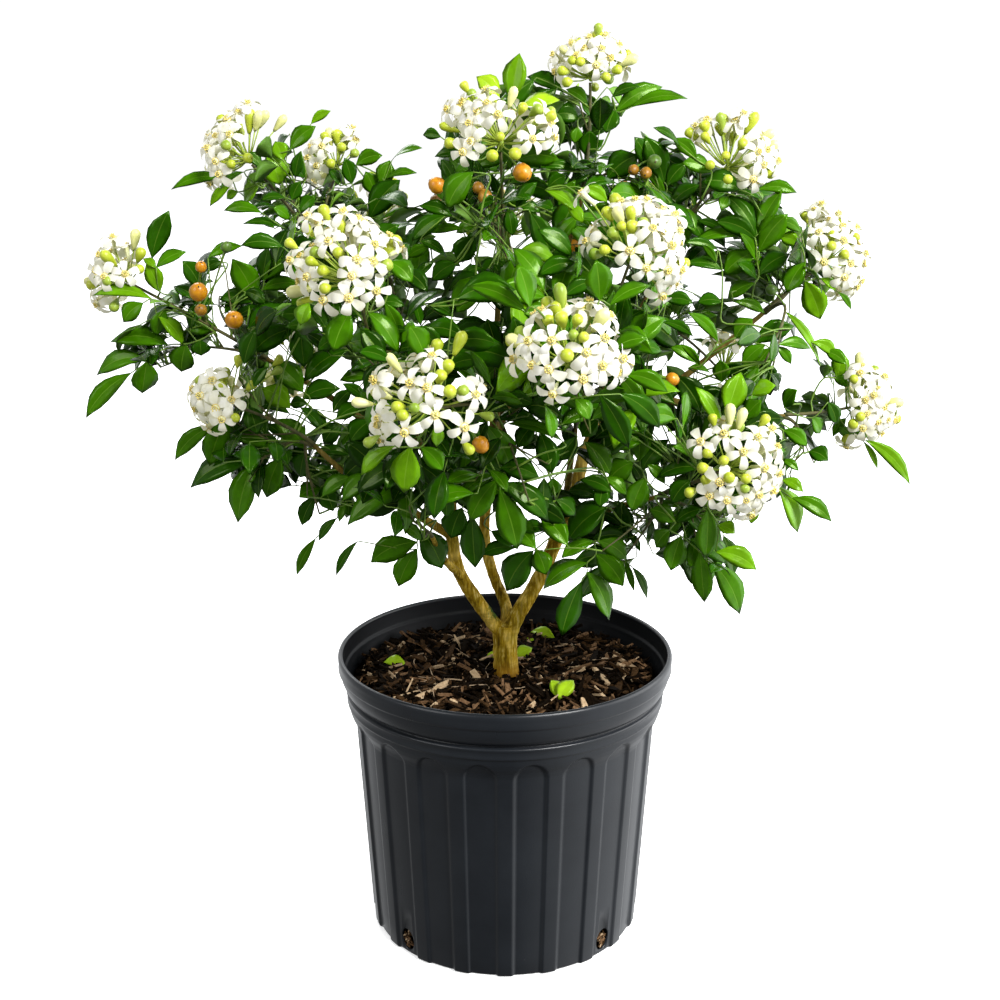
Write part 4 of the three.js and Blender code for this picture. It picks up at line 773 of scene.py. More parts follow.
def crosses_sky(curve, shares):
    return any(on_sky(curve.at(t)) for t in shares)


MOSS = on_plane(492, 610, -2)


# Meshes

class Bunch:
    """Many small shapes, joined into one mesh of triangles with a material number for each."""

    def __init__(self):
        self.points, self.faces, self.kinds = [], [], []
        self.count = 0

    def add(self, points, faces, kinds=0):
        self.points.append(np.asarray(points, float))
        self.faces.append(np.asarray(faces, int) + self.count)
        self.kinds.append(np.broadcast_to(np.asarray(kinds, int), len(faces)).copy())
        self.count += len(points)

    def build(self, name, materials, smooth=True):
        points = np.concatenate(self.points) * MM
        faces = np.concatenate(self.faces)
        mesh = bpy.data.meshes.new(name)
        mesh.vertices.add(len(points))
        mesh.vertices.foreach_set("co", points.ravel().astype(np.float32))
        mesh.loops.add(3 * len(faces))
        mesh.loops.foreach_set("vertex_index", faces.ravel().astype(np.int32))
        mesh.polygons.add(len(faces))
        mesh.polygons.foreach_set("loop_start", np.arange(0, 3 * len(faces), 3, dtype=np.int32))
        mesh.polygons.foreach_set("material_index", np.concatenate(self.kinds).astype(np.int32))
        mesh.polygons.foreach_set("use_smooth", np.full(len(faces), smooth))
        for material in materials:
            mesh.materials.append(material)
        mesh.update(calc_edges=True)
        mesh.validate()
        piece = bpy.data.objects.new(name, mesh)
        bpy.context.scene.collection.objects.link(piece)
        return piece


def grid_faces(rows, columns, closed=False):
    """Triangles between rows of corners, each row with the same number of them."""
    faces = []
    for i in range(rows - 1):
        for k in range(columns if closed else columns - 1):
            a, b = i * columns + k, i * columns + (k + 1) % columns
            faces += [(a, b, b + columns), (a, b + columns, a + columns)]
    return faces


def tube_faces(rings, sides):
    """The faces of a stack of rings, with a flat end on each side."""
    start = (rings - 1) * sides
    ends = [(0, k + 1, k) for k in range(1, sides - 1)]
    ends += [(start, start + k, start + k + 1) for k in range(1, sides - 1)]
    return grid_faces(rings, sides, closed=True) + ends


def cone_faces(rings, sides):
    """The faces of a stack of rings, drawn in to one more corner below and another above."""
    faces = grid_faces(rings, sides, closed=True)
    start, low = (rings - 1) * sides, rings * sides
    for k in range(sides):
        following = (k + 1) % sides
        faces += [(following, k, low), (start + k, start + following, low + 1)]
    return faces


def tube(points, radii, sides):
    """A closed tube through points, as corners and faces."""
    corners, across = [], None
    last = len(points) - 1
    for i, point in enumerate(points):
        along = unit(points[min(i + 1, last)] - points[max(i - 1, 0)])
        across = square_to(frame_round(along)[0] if across is None else across, along)
        third = np.cross(along, across)
        corners += [point + swing(across, third, turn) * radii[i] for turn in turns(sides)]
    return corners, tube_faces(len(points), sides)


def tapered(curve, steps, first, last, sides, reach=1):
    """A tube along a curve as far as a share of it, from one radius to another."""
    return tube([curve.at(reach * i / steps) for i in range(steps + 1)],
                [first + (last - first) * i / steps for i in range(steps + 1)], sides)


def lathe(middle, along, length, profile, sides):
    """A round body: its profile gives each ring's place as a share of its length, and its radius."""
    across, third = frame_round(along)
    corners = [middle + along * share * length + swing(across, third, turn) * radius
               for share, radius in profile for turn in turns(sides)]
    corners += [middle - along * length / 2, middle + along * length / 2]
    return corners, cone_faces(len(profile), sides)


def octahedron(middle, along, radius, stretch):
    across, third = frame_round(along)
    corners = [middle + along * radius * stretch, middle + across * radius, middle + third * radius,
               middle - across * radius, middle - third * radius, middle - along * radius * stretch]
    return corners, [(0, 1, 2), (0, 2, 3), (0, 3, 4), (0, 4, 1), (5, 2, 1), (5, 3, 2), (5, 4, 3), (5, 1, 4)]


def egg(middle, along, radius, length, sides=9):
    """An oval body, as a bud or a fruit."""
    angles = [math.pi * i / EGG_LEVELS for i in range(1, EGG_LEVELS)]
    profile = [(-math.cos(a) / 2, radius * math.sin(a) * (1 - 0.12 * math.cos(a))) for a in angles]
    return lathe(middle, along, length, profile, sides)


def apply_modifiers(piece):
    bpy.context.view_layer.update()
    done = bpy.data.meshes.new_from_object(piece.evaluated_get(bpy.context.evaluated_depsgraph_get()))
    piece.modifiers.clear()
    old = piece.data
    piece.data = done
    bpy.data.meshes.remove(old)


# Materials

def shader(name, colour, roughness, **more):
    material = bpy.data.materials.new(name)
    material.use_nodes = True
    surface = material.node_tree.nodes["Principled BSDF"]
    surface.inputs["Base Color"].default_value = (*colour, 1)
    surface.inputs["Roughness"].default_value = roughness
    for socket, value in more.items():
        surface.inputs[socket.replace("_", " ")].default_value = value
    return material


def texture(material, kind, scale, stretch=(1, 1, 1), **settings):
    """A texture node that reads the place on the object, in metres times the scale."""
    tree = material.node_tree
    place = tree.nodes.new("ShaderNodeTexCoord")
    mapping = tree.nodes.new("ShaderNodeMapping")
    mapping.inputs["Scale"].default_value = stretch
    node = tree.nodes.new(kind)
    node.inputs["Scale"].default_value = scale
    for socket, value in settings.items():
        node.inputs[socket].default_value = value
    tree.links.new(place.outputs["Object"], mapping.inputs["Vector"])
    tree.links.new(mapping.outputs["Vector"], node.inputs["Vector"])
    return node


def cloud(material, scale, **settings):
    return texture(material, "ShaderNodeTexNoise", scale, **settings).outputs["Fac"]


def ramp(material, source, *stops):
    """A colour ramp from a texture's value. A stop's number stands for a grey."""
    tree = material.node_tree
    node = tree.nodes.new("ShaderNodeValToRGB")
    band = node.color_ramp
    while len(band.elements) < len(stops):
        band.elements.new(0.5)
    for element, (place, colour) in zip(band.elements, stops):
        element.position = place
        element.color = (*colour, 1) if isinstance(colour, tuple) else (colour, colour, colour, 1)
    tree.links.new(source, node.inputs["Fac"])
    return node.outputs["Color"]


def mixed(material, share, first, second):
    """One colour over another, by a share."""
    tree = material.node_tree
    node = tree.nodes.new("ShaderNodeMix")
    node.data_type = "RGBA"
    for value, socket in ((share, node.inputs[0]), (first, node.inputs[6]), (second, node.inputs[7])):
        if isinstance(value, tuple):
            socket.default_value = (*value, 1)
        elif isinstance(value, float):
            socket.default_value = value
        else:
            tree.links.new(value, socket)
    return node.outputs[2]


def map_range(tree, source, start, end, low, high):
    """A value that runs from low to high as its source runs from start to end."""
    node = tree.nodes.new("ShaderNodeMapRange")
    for socket, value in (("From Min", start), ("From Max", end), ("To Min", low), ("To Max", high)):
        node.inputs[socket].default_value = value
    tree.links.new(source, node.inputs["Value"])
    return node.outputs["Result"]


def coordinate(tree, kind, axis):
    """One coordinate of the place or the direction that is shaded."""
    where, split = tree.nodes.new("ShaderNodeTexCoord"), tree.nodes.new("ShaderNodeSeparateXYZ")
    tree.links.new(where.outputs[kind], split.inputs["Vector"])
    return split.outputs[axis]


def distance_from(tree, place):
    """How far the shaded place on the object is from another, in metres."""
    where, away = tree.nodes.new("ShaderNodeTexCoord"), tree.nodes.new("ShaderNodeVectorMath")
    away.operation = "DISTANCE"
    away.inputs[1].default_value = tuple(place * MM)
    tree.links.new(where.outputs["Object"], away.inputs[0])
    return away.outputs["Value"]


def drive(material, socket, source):
    surface = material.node_tree.nodes["Principled BSDF"]
    material.node_tree.links.new(source, surface.inputs[socket])


def bump(material, source, strength, distance):
    node = material.node_tree.nodes.new("ShaderNodeBump")
    node.inputs["Strength"].default_value = strength
    node.inputs["Distance"].default_value = distance
    material.node_tree.links.new(source, node.inputs["Height"])
    drive(material, "Normal", node.outputs["Normal"])


def vary(material, source, dark, light):
    """Drives a material's colour between two tones."""
    drive(material, "Base Color", ramp(material, source, (0.3, dark), (0.7, light)))


def shade(colour, factor):
    return tuple(c * factor for c in colour)


def blend(colour, other, share):
    return tuple((1 - share) * c + share * d for c, d in zip(colour, other))


def mottled(name, dark, light, roughness, scale=90, **more):
    """A plain material with a little natural variation."""
    material = shader(name, light, roughness, **more)
    source = cloud(material, scale, Detail=4)
    vary(material, source, dark, light)
    bump(material, source, 0.2, 0.0005)
    return material


def plastic_material():
    """Black plastic with a faint cloudiness, and dust caught in patches."""
    material = shader("pot_plastic", (0.010, 0.012, 0.015), 0.42, Specular_IOR_Level=0.34)
    tone = ramp(material, cloud(material, 14, Detail=6, Roughness=0.6),
                (0.3, (0.007, 0.0085, 0.011)), (0.7, (0.013, 0.0155, 0.019)))
    specks = texture(material, "ShaderNodeTexVoronoi", 160)
    dust = ramp(material, specks.outputs["Distance"], (0.0, 0.5), (0.055, 0.0))
    patches = ramp(material, cloud(material, 30, Detail=2), (0.6, 0.0), (0.72, 1.0))
    dusty = mixed(material, patches, (0, 0, 0), dust)
    drive(material, "Base Color", mixed(material, dusty, tone, (0.30, 0.29, 0.27)))
    wear = cloud(material, 40, stretch=(1, 1, 0.15), Detail=5)
    drive(material, "Roughness", ramp(material, wear, (0.3, 0.27), (0.75, 0.38)))
    bump(material, cloud(material, 900, Detail=3), 0.12, 0.0004)
    return material


def bark_material():
    """Streaked yellow-brown bark: olive in patches, mossy in one place, redder at its foot, dull high up."""
    material = shader("bark", (0.42, 0.28, 0.06), 0.7, Specular_IOR_Level=0.08)
    tree = material.node_tree
    streak = cloud(material, 420, stretch=(1, 1, 0.16), Detail=6, Roughness=0.65)
    fine = ramp(material, streak, (0.38, (0.04, 0.022, 0.001)), (0.47, (0.24, 0.140, 0.003)),
                (0.55, (0.60, 0.40, 0.03)), (0.66, (1.0, 0.80, 0.26)))
    broad = ramp(material, cloud(material, 120, stretch=(1, 1, 0.42), Detail=5),
                 (0.36, (0.12, 0.070, 0.001)), (0.50, (0.38, 0.23, 0.006)), (0.64, (0.85, 0.60, 0.12)))
    rings = ramp(material, cloud(material, 110, stretch=(0.25, 0.25, 2.4), Detail=4),
                 (0.56, 0.0), (0.70, 0.4))
    olive = ramp(material, cloud(material, 34, Detail=4), (0.52, 0.0), (0.70, 0.4))
    ragged = tree.nodes.new("ShaderNodeMath")
    ragged.operation = "MULTIPLY_ADD"
    ragged.inputs[1].default_value = 2 * MOSS_RAGGEDNESS
    tree.links.new(cloud(material, 380, Detail=3), ragged.inputs[0])
    tree.links.new(distance_from(tree, MOSS), ragged.inputs[2])
    inner, outer = (radius + MOSS_RAGGEDNESS for radius in MOSS_RADII)
    moss = map_range(tree, ragged.outputs["Value"], inner, outer, 1.0, 0.0)
    height = coordinate(tree, "Object", "Z")
    foot, upper = (map_range(tree, height, *ends, 0.0, 0.85) for ends in (BARK_FOOT, BARK_UPPER))
    tone = mixed(material, 0.5, fine, broad)
    for share, colour in (
            (rings, (0.15, 0.085, 0.003)), (olive, (0.20, 0.18, 0.015)), (moss, (0.035, 0.075, 0.008)),
            (foot, (0.24, 0.115, 0.010)), (upper, (0.088, 0.068, 0.018))):
        tone = mixed(material, share, tone, colour)
    drive(material, "Base Color", tone)
    bump(material, streak, 0.6, 0.0007)
    return material


def leaf_materials(name, colour):
    """The blade, midrib and underside of one tint of leaf."""
    rib_colour = blend(colour, (0.30, 0.46, 0.05), 0.16)
    under_colour = blend(colour, (0.17, 0.32, 0.04), 0.38)
    blade = shader("leaf_" + name, colour, 0.25, Specular_IOR_Level=0.20, Specular_Tint=(0.60, 0.90, 0.15, 1),
                   Coat_Weight=0.14, Coat_Roughness=0.13)
    rib = shader("midrib_" + name, rib_colour, 0.4, Specular_IOR_Level=0.3,
                 Specular_Tint=(0.62, 0.86, 0.34, 1))
    under = shader("underleaf_" + name, under_colour, 0.5, Specular_IOR_Level=0.2)
    for material, tone, scale, detail, low, high in (
            (blade, colour, 60, 3, 0.72, 1.3), (rib, rib_colour, 80, 2, 0.9, 1.1),
            (under, under_colour, 90, 3, 0.85, 1.15)):
        vary(material, cloud(material, scale, Detail=detail), shade(tone, low), shade(tone, high))
    bump(blade, cloud(blade, 420, Detail=2), 0.25, 0.0006)
    return [blade, rib, under]


# Pot

def wall_radius(height):
    return float(np.interp(height, *zip(*OUTER)))


def pot_rings():
    """Rings of corners from the middle of the underside, up the outside, over the lip and down inside."""
    heights = [h for h, _ in OUTER if h <= FLOOR] + PLAIN_HEIGHTS
    heights += list(np.arange(*ARCH_HEIGHTS)) + [h for h, _ in OUTER if h > ARCH_HEIGHTS[1]]
    count = FLUTES * FLUTE_COLUMNS
    angles = np.arange(count) * 2 * math.pi / count
    pitch = 2 * math.pi / FLUTES
    local = np.abs(angles % pitch - pitch / 2)

    def ring(radius, height):
        return np.column_stack([radius * np.cos(angles), radius * np.sin(angles), np.full(count, height)])

    rings = [ring(UNDERSIDE_RADIUS, 0.0)]
    for height in heights:
        wall = wall_radius(height)
        half = FLUTE_SHARE * pitch / 2 * wall
        above = max(0.0, height - (FLUTE_TOP - FLUTE_ARCH))
        inside = half - np.hypot(local * wall, above * half / FLUTE_ARCH)
        sink = np.clip(inside / FLUTE_ROUNDING, 0, 1)
        rings.append(ring(wall - FLUTE_DEPTH * sink * sink * (3 - 2 * sink), height))
    return rings + [ring(radius, height) for height, radius in INNER]


def drain_directions():
    """The way out through each drain hole, and the way across it."""
    for degrees in DRAIN_ANGLES:
        outward = vec(math.cos(math.radians(degrees)), math.sin(math.radians(degrees)), 0)
        yield outward, np.cross(UP, outward)


def in_drain(outward, sideways, depth, turn, share):
    """A place in a drain hole, at an angle round it and a share of the way to its edge."""
    return (outward * depth + sideways * math.cos(turn) * DRAIN_HALF_WIDTH * share
            + UP * (DRAIN_HEIGHT + math.sin(turn) * DRAIN_HALF_HEIGHT * share))


def make_pot(materials):
    pot = Bunch()
    rings = pot_rings()
    count = len(rings[0])
    # Faces inside the pot below the lip take the second material, a darker and less glossy copy of the
    # plastic that paints the shade inside the pot.
    inside = np.arange(len(rings) - 1) > len(rings) - len(INNER) + 1
    kinds = np.concatenate([np.repeat(inside, 2 * count), np.tile([False, True], count)])
    points = np.concatenate(rings + [np.array([[0, 0, 0], [0, 0, FLOOR]])])
    pot.add(points, cone_faces(len(rings), count), kinds)
    piece = pot.build("pot_body", materials)
    holes = Bunch()
    for outward, sideways in drain_directions():
        corners = [in_drain(outward, sideways, FOOT_RADIUS + depth, turn, grow)
                   for depth, grow in DRAIN_STATIONS for turn in turns(DRAIN_SIDES)]
        holes.add(corners, tube_faces(len(DRAIN_STATIONS), DRAIN_SIDES))
    cutter = holes.build("drain_cutter", materials[:1])
    cut = piece.modifiers.new("drains", "BOOLEAN")
    cut.operation = "DIFFERENCE"
    cut.solver = "MANIFOLD"
    cut.object = cutter
    apply_modifiers(piece)
    bpy.data.objects.remove(cutter)
    return piece


# Soil

def soil_height(x, y):
    """The height of the soil's surface, with small heaps and hollows."""
    radius = math.hypot(x, y)
    heaps = HEAP_HEIGHT * noise.noise(Vector((x * HEAP_SCALE, y * HEAP_SCALE, 1.7)))
    crumbs = CRUMB_HEIGHT * noise.noise(Vector((x * CRUMB_SCALE, y * CRUMB_SCALE, 4.2)))
    level = SOIL_TOP - SOIL_EDGE_DROP * (radius / SOIL_RADIUS) ** 4
    settled = min(1.0, max(0.0, (radius - SOIL_FLAT_RADIUS) / SOIL_SETTLING))
    return level + (heaps + crumbs) * settled


def make_soil(material):
    soil = Bunch()
    points = [(radius * math.cos(turn), radius * math.sin(turn), height)
              for height, radius in SOIL_WALL for turn in turns(SOIL_COLUMNS)]
    for i in range(SOIL_RINGS):
        radius = (SOIL_RADIUS - SOIL_INSET) * (1 - i / SOIL_RINGS)
        for turn in turns(SOIL_COLUMNS):
            x, y = radius * math.cos(turn), radius * math.sin(turn)
            points.append((x, y, soil_height(x, y)))
    points += [(0, 0, SOIL_WALL[0][0]), (0, 0, SOIL_TOP)]
    soil.add(points, cone_faces(len(SOIL_WALL) + SOIL_RINGS, SOIL_COLUMNS))
    return soil.build("soil_bed", [material])


CHIP_FACES = tube_faces(3, 4)


def add_chip(chips, middle, along, across, sizes, kind, random):
    """One chip: a bent sliver, widest near its middle and ragged at its ends."""
    length, width, thick = sizes
    normal = np.cross(along, across)
    corners = []
    stations = ((-0.5, 0.45 + 0.4 * random()), (0.1 * (random() - 0.5), 1.0), (0.5, 0.3 + 0.5 * random()))
    for u, wide in stations:
        bow = (0.25 - u * u) * 0.14 * length * (random() - 0.3)
        for v, w in ((-0.5, -0.5), (0.5, -0.5), (0.5, 0.5), (-0.5, 0.5)):
            sideways = v * width * wide * (0.85 + 0.3 * random())
            corners.append(middle + along * u * length + across * sideways
                           + normal * (w * thick * (0.6 + 0.6 * random()) + bow))
    chips.add(corners, CHIP_FACES, kind)


def make_chips(materials):
    """Chips and slivers of bark lying on the soil, in a few browns, and behind the drain holes."""
    random = random_from(77)
    chips = Bunch()
    for _ in range(CHIPS):
        radius = (SOIL_RADIUS - 4) * math.sqrt(random())
        turn = 2 * math.pi * random()
        x, y = radius * math.cos(turn), radius * math.sin(turn)
        length = drawn(random, *CHIP_LENGTHS)
        width = min(length * 0.4, drawn(random, *CHIP_WIDTHS))
        thick = drawn(random, *CHIP_THICKNESSES)
        yaw = 2 * math.pi * random()
        tilt = (random() - 0.5) * 1.3
        lift = drawn(random, *CHIP_LIFTS)
        if radius + length * 0.5 > SOIL_RADIUS - 1:
            length *= 0.6
        if radius < TRUNK_CLEARANCE:
            continue
        along = unit(vec(math.cos(yaw), math.sin(yaw), math.sin(tilt)))
        across = unit(np.cross(UP, along) + UP * (random() - 0.5) * 0.9)
        pick = random()
        kind = sum(pick >= share for share in CHIP_KINDS)
        middle = vec(x, y, soil_height(x, y) + lift)
        add_chip(chips, middle, along, across, (length, width, thick), kind, random)
    for outward, sideways in drain_directions():
        for _ in range(CHIPS_IN_DRAIN):
            away, turn, lean = 0.7 * math.sqrt(random()), 2 * math.pi * random(), math.pi * random()
            middle = in_drain(outward, sideways, drawn(random, *DRAIN_CHIP_DEPTHS), turn, away)
            along = swing(sideways, UP, lean)
            length, width = drawn(random, *DRAIN_CHIP_LENGTHS), drawn(random, *DRAIN_CHIP_WIDTHS)
            sizes = (length, width, DRAIN_CHIP_THICKNESS)
            add_chip(chips, middle, along, np.cross(outward, along), sizes, 1 + int(2.4 * random()), random)
    return chips.build("bark_chips", materials, smooth=False)


def make_roots(material):
    """Thin pale roots and fibres among the chips."""
    random = random_from(31)
    roots = Bunch()
    for _ in range(ROOTS):
        radius = drawn(random, *ROOT_PLACES)
        turn = 2 * math.pi * random()
        heading = 2 * math.pi * random()
        x, y = radius * math.cos(turn), radius * math.sin(turn)
        points = []
        for i in range(ROOT_STEPS):
            if math.hypot(x, y) > SOIL_RADIUS - 5:
                break
            points.append(vec(x, y, soil_height(x, y) + ROOT_LIFT + 0.8 * math.sin(i)))
            heading += (random() - 0.5) * 0.9
            x += ROOT_STEP * math.cos(heading)
            y += ROOT_STEP * math.sin(heading)
        if len(points) > 3:
            size = drawn(random, *ROOT_RADII)
            roots.add(*tube(points, [size * (1 - 0.5 * i / len(points)) for i in range(len(points))], 5))
    return roots.build("root_fibres", [material])


# Limbs

CURVES = {name: Spline(points) for name, (points, _) in LIMBS.items()}


def limb_radius(name, share):
    radii = LIMBS[name][1]
    return float(np.interp(share * (len(radii) - 1), range(len(radii)), radii))


def bark_relief(x, y, z):
    """Lengthwise ridges, low knobs and rings, deeper on the trunk than on the boughs."""
    depth = 0.5 if z < 268 else 0.36 if z < 400 else 0.25
    return depth * sum(weight * noise.noise(Vector((x * fine + shift, y * fine, z * lengthwise)))
                       for weight, fine, lengthwise, shift in BARK_RELIEF)


def make_limbs(material):
    """Trunk, stems and boughs grown into one skin, with the bark's relief pressed into it."""
    limbs = Bunch()
    shares = [i / LIMB_STEPS for i in range(LIMB_STEPS + 1)]
    for name, curve in CURVES.items():
        slimming = BOUGH_SLIMMING if name.startswith("bough") else 0
        radii = [limb_radius(name, s) * (1 - slimming * s) for s in shares]
        limbs.add(*tube([curve.at(s) for s in shares], radii, LIMB_SIDES))
    piece = limbs.build("trunk_and_boughs", [material])
    skin = piece.modifiers.new("skin", "REMESH")
    skin.mode = "VOXEL"
    skin.voxel_size = BARK_VOXEL * MM
    skin.use_smooth_shade = True
    smooth = piece.modifiers.new("smooth", "SMOOTH")
    smooth.factor = 0.5
    smooth.iterations = 4
    apply_modifiers(piece)
    mesh = piece.data
    places, normals = np.zeros((2, 3 * len(mesh.vertices)), np.float32)
    mesh.vertices.foreach_get("co", places)
    mesh.vertices.foreach_get("normal", normals)
    places, normals = places.reshape(-1, 3), normals.reshape(-1, 3)
    relief = np.array([bark_relief(p[0] / MM, p[1] / MM, p[2] / MM) for p in places])
    places += normals * (relief * MM)[:, None]
    mesh.vertices.foreach_set("co", places.ravel().astype(np.float32))
    mesh.polygons.foreach_set("use_smooth", np.full(len(mesh.polygons), True))
    mesh.update()
    return piece


# Masses of foliage: where their leaders run and how far they reach

def lay_leaders():
    """Runs a leader from its bough's tip to each mass, spread round the tip without crossing."""
    for name, curve in CURVES.items():
        carried = [mass for mass in MASSES if mass["bough"] == name]
        if not carried:
            continue
        tip, along = curve.at(1), curve.tangent(1)
        across = square_to(UP, along)
        third = np.cross(along, across)
        for mass in carried:
            away = mass["at"] - tip
            mass["turn"] = math.atan2(float(away @ third), float(away @ across))
        carried.sort(key=lambda mass: mass["turn"])
        slot = 2 * math.pi / len(carried)
        drift = [mass["turn"] - i * slot for i, mass in enumerate(carried)]
        first = math.atan2(sum(map(math.sin, drift)), sum(map(math.cos, drift)))
        offset = SLOT_RADIUS if len(carried) > 1 else 0
        for i, mass in enumerate(carried):
            start = tip - along * LEADER_INSET + swing(across, third, first + i * slot) * offset
            mass["axis"] = unit(unit(mass["at"] - CROWN_CENTRE) * 0.8 + UP * 0.42)
            mass["end"] = mass["at"] - mass["axis"] * HEAD_DEPTH * mass["bloom"]
            bend = start + along * LEADER_BEND * np.linalg.norm(mass["end"] - start)
            mass["leader"] = Bend(start, bend, mass["end"])
            mass["knob"] = mass["end"] + mass["axis"] * KNOB_RISE * mass["bloom"]


lay_leaders()
LIMB_SPOTS = [(name, i / LIMB_SAMPLES) for name in LIMBS for i in range(LIMB_SAMPLES + 1)]
LIMB_PLACES = np.array([CURVES[name].at(share) for name, share in LIMB_SPOTS])
LIMB_SIZES = np.array([limb_radius(name, share) for name, share in LIMB_SPOTS])
HEADS = [mass for mass in MASSES if mass["bloom"]]
HEAD_PLACES = np.array([mass["knob"] for mass in HEADS])
HEAD_SIZES = np.array([mass["bloom"] for mass in HEADS])


def in_crown(point):
    return point[2] > LOWEST_LEAF and length_of((point - CROWN_CENTRE) / CROWN_REACH) < 1


def in_reach(point, mass):
    """Whether a point is in the crown and no further out than the mass's own head or end."""
    beyond = float((point - mass["at"]) @ mass["axis"])
    reach = HEAD_OVERHANG * mass["bloom"] if mass["bloom"] else END_REACH
    return in_crown(point) and point[1] < BACK_REACH and beyond < reach


def clear_of_wood(point, margin):
    return bool(np.all(np.linalg.norm(LIMB_PLACES - point, axis=1) > LIMB_SIZES + margin))


def clear_of_heads(point):
    return bool(np.all(np.linalg.norm(point - HEAD_PLACES, axis=1) > HEAD_CLEARANCE * HEAD_SIZES))


# Leaflets

LEAF_STATIONS = np.array([0.0, 0.08, 0.2, 0.36, 0.54, 0.72, 0.87, 1.0])
LEAF_WIDTHS = np.array([0.05, 0.27, 0.62, 0.93, 1.06, 0.88, 0.42, 0.0])
LEAF_ACROSS = np.array([-1.0, -0.52, -0.04, 0.04, 0.52, 1.0])
BLADE, RIB, UNDERSIDE = 0, 1, 2
RIB_STRIP = 2


def leaflet_shape():
    """The faces of a leaflet's template and their kinds: a blade over a keel, drawn in to a tip."""
    rows = len(LEAF_STATIONS) - 1
    across = len(LEAF_ACROSS)
    width = across + 1
    strips = [RIB if k == RIB_STRIP else BLADE for k in range(across - 1)]
    faces, kinds = [], []
    for start in range(0, (rows - 1) * width, width):
        for k, kind in enumerate(strips):
            a, b = start + k, start + k + 1
            faces += [(a, b, b + width), (a, b + width, a + width)]
            kinds += [kind] * 2
        right, keel = start + across - 1, start + across
        faces += [(start, start + width, keel + width), (start, keel + width, keel)]
        faces += [(keel, keel + width, right + width), (keel, right + width, right)]
        kinds += [UNDERSIDE] * 4
    last, peak = (rows - 1) * width, rows * width
    faces += [(last + k, last + k + 1, peak) for k in range(across - 1)]
    faces += [(last, peak, last + across), (last + across, peak, last + across - 1)]
    return np.array(faces), np.array(kinds + strips + [UNDERSIDE] * 2)


LEAF_FACES, LEAF_KINDS = leaflet_shape()


def leaflet_points(base, along, facing, length, width, random):
    """Corners of one leaflet: folded along its midrib, arched over its length and a little wavy."""
    side = unit(np.cross(facing, along))
    normal = np.cross(along, side)
    fold, droop = drawn(random, *LEAF_FOLDS), drawn(random, *LEAF_DROOPS)
    wave = 0.05 * (random() - 0.5)
    twist = 0.5 * (random() - 0.5)
    u, v = LEAF_STATIONS[:-1], np.outer(LEAF_WIDTHS[:-1] * width / 2, LEAF_ACROSS)
    edge = np.abs(LEAF_ACROSS)
    rise = fold * np.abs(v) * (1 - 0.35 * edge) + wave * length * np.outer(np.sin(6 * u), LEAF_ACROSS)
    rise -= (edge < 0.1) * 0.18
    rise += v * (twist * u)[:, None]
    sag = droop * length * u * u
    arch = np.outer(4 * u * (1 - u) * LEAF_ARCH * length, UP - along * along[2])
    spine = base + np.outer(u * length, along) + arch
    top = spine[:, None, :] + v[:, :, None] * side + (rise - sag[:, None])[:, :, None] * normal
    keel = spine + np.outer(-sag - LEAF_KEEL, normal)
    rows = np.concatenate([top, keel[:, None, :]], axis=1).reshape(-1, 3)
    return np.vstack([rows, base + along * length - normal * droop * length])


class Foliage:
    """Everything that grows in the crown, by kind."""

    def __init__(self):
        self.leaves = {tint: Bunch() for tint in TINTS}
        self.twigs, self.stalks, self.head_stalks = Bunch(), Bunch(), Bunch()
        self.petals, self.centres, self.buds, self.fruit = Bunch(), Bunch(), Bunch(), Bunch()
        self.middles = []
        self.marks = []

    def mark(self, place, radius):
        """Keeps the sight line to a place clear of leaves that come later."""
        self.marks.append((*pixel(place), radius))

    def leaflet(self, base, along, facing, length, width, tint, random):
        points = leaflet_points(base, along, facing, length, width, random)
        self.leaves[tint].add(points, LEAF_FACES, LEAF_KINDS)
        self.middles.append(base + along * length * 0.5)


def in_sight(plant, point, margin):
    """Whether a leaf may show at a point: within the crown's outline, off the sky and behind what is seen."""
    x, y, distance = pixel(point)
    if not in_outline(x, y) or over_sky(x, y, margin):
        return False
    marks = plant.marks_array
    hidden = (np.hypot(marks[:, 0] - x, marks[:, 1] - y) < marks[:, 3]) & (marks[:, 2] > distance - 2)
    return not np.any(hidden)


def leaflet_fits(plant, mass, base, along, length, near):
    middle, tip = base + along * length * 0.5, base + along * length
    if not (in_reach(tip, mass) and in_crown(middle)) or tip[2] < LOWEST_LEAF - 4:
        return False
    if not clear_of_wood(middle, 3.5) or not clear_of_heads(middle) or not clear_of_heads(tip):
        return False
    others = np.array(plant.middles + near)
    if float(np.linalg.norm(others - middle, axis=1).min()) < LEAF_SPACING:
        return False
    spots = ((middle, 5), (tip, 0), (base + along * length * 0.8, 3))
    return all(in_sight(plant, place, margin) for place, margin in spots)


def pick_tint(random, height, outer):
    """A tint for a whole compound leaf: brighter towards the top and the outside, so that the darker tints
    inside the crown paint its shade.
    """
    luck = random() + 0.16 * (height - 0.5) + 0.30 * (outer - 0.75)
    for limit, tint in TINT_LIMITS:
        if luck < limit:
            return tint
    return "light" if luck < 1.1 or outer < 0.85 else "young"


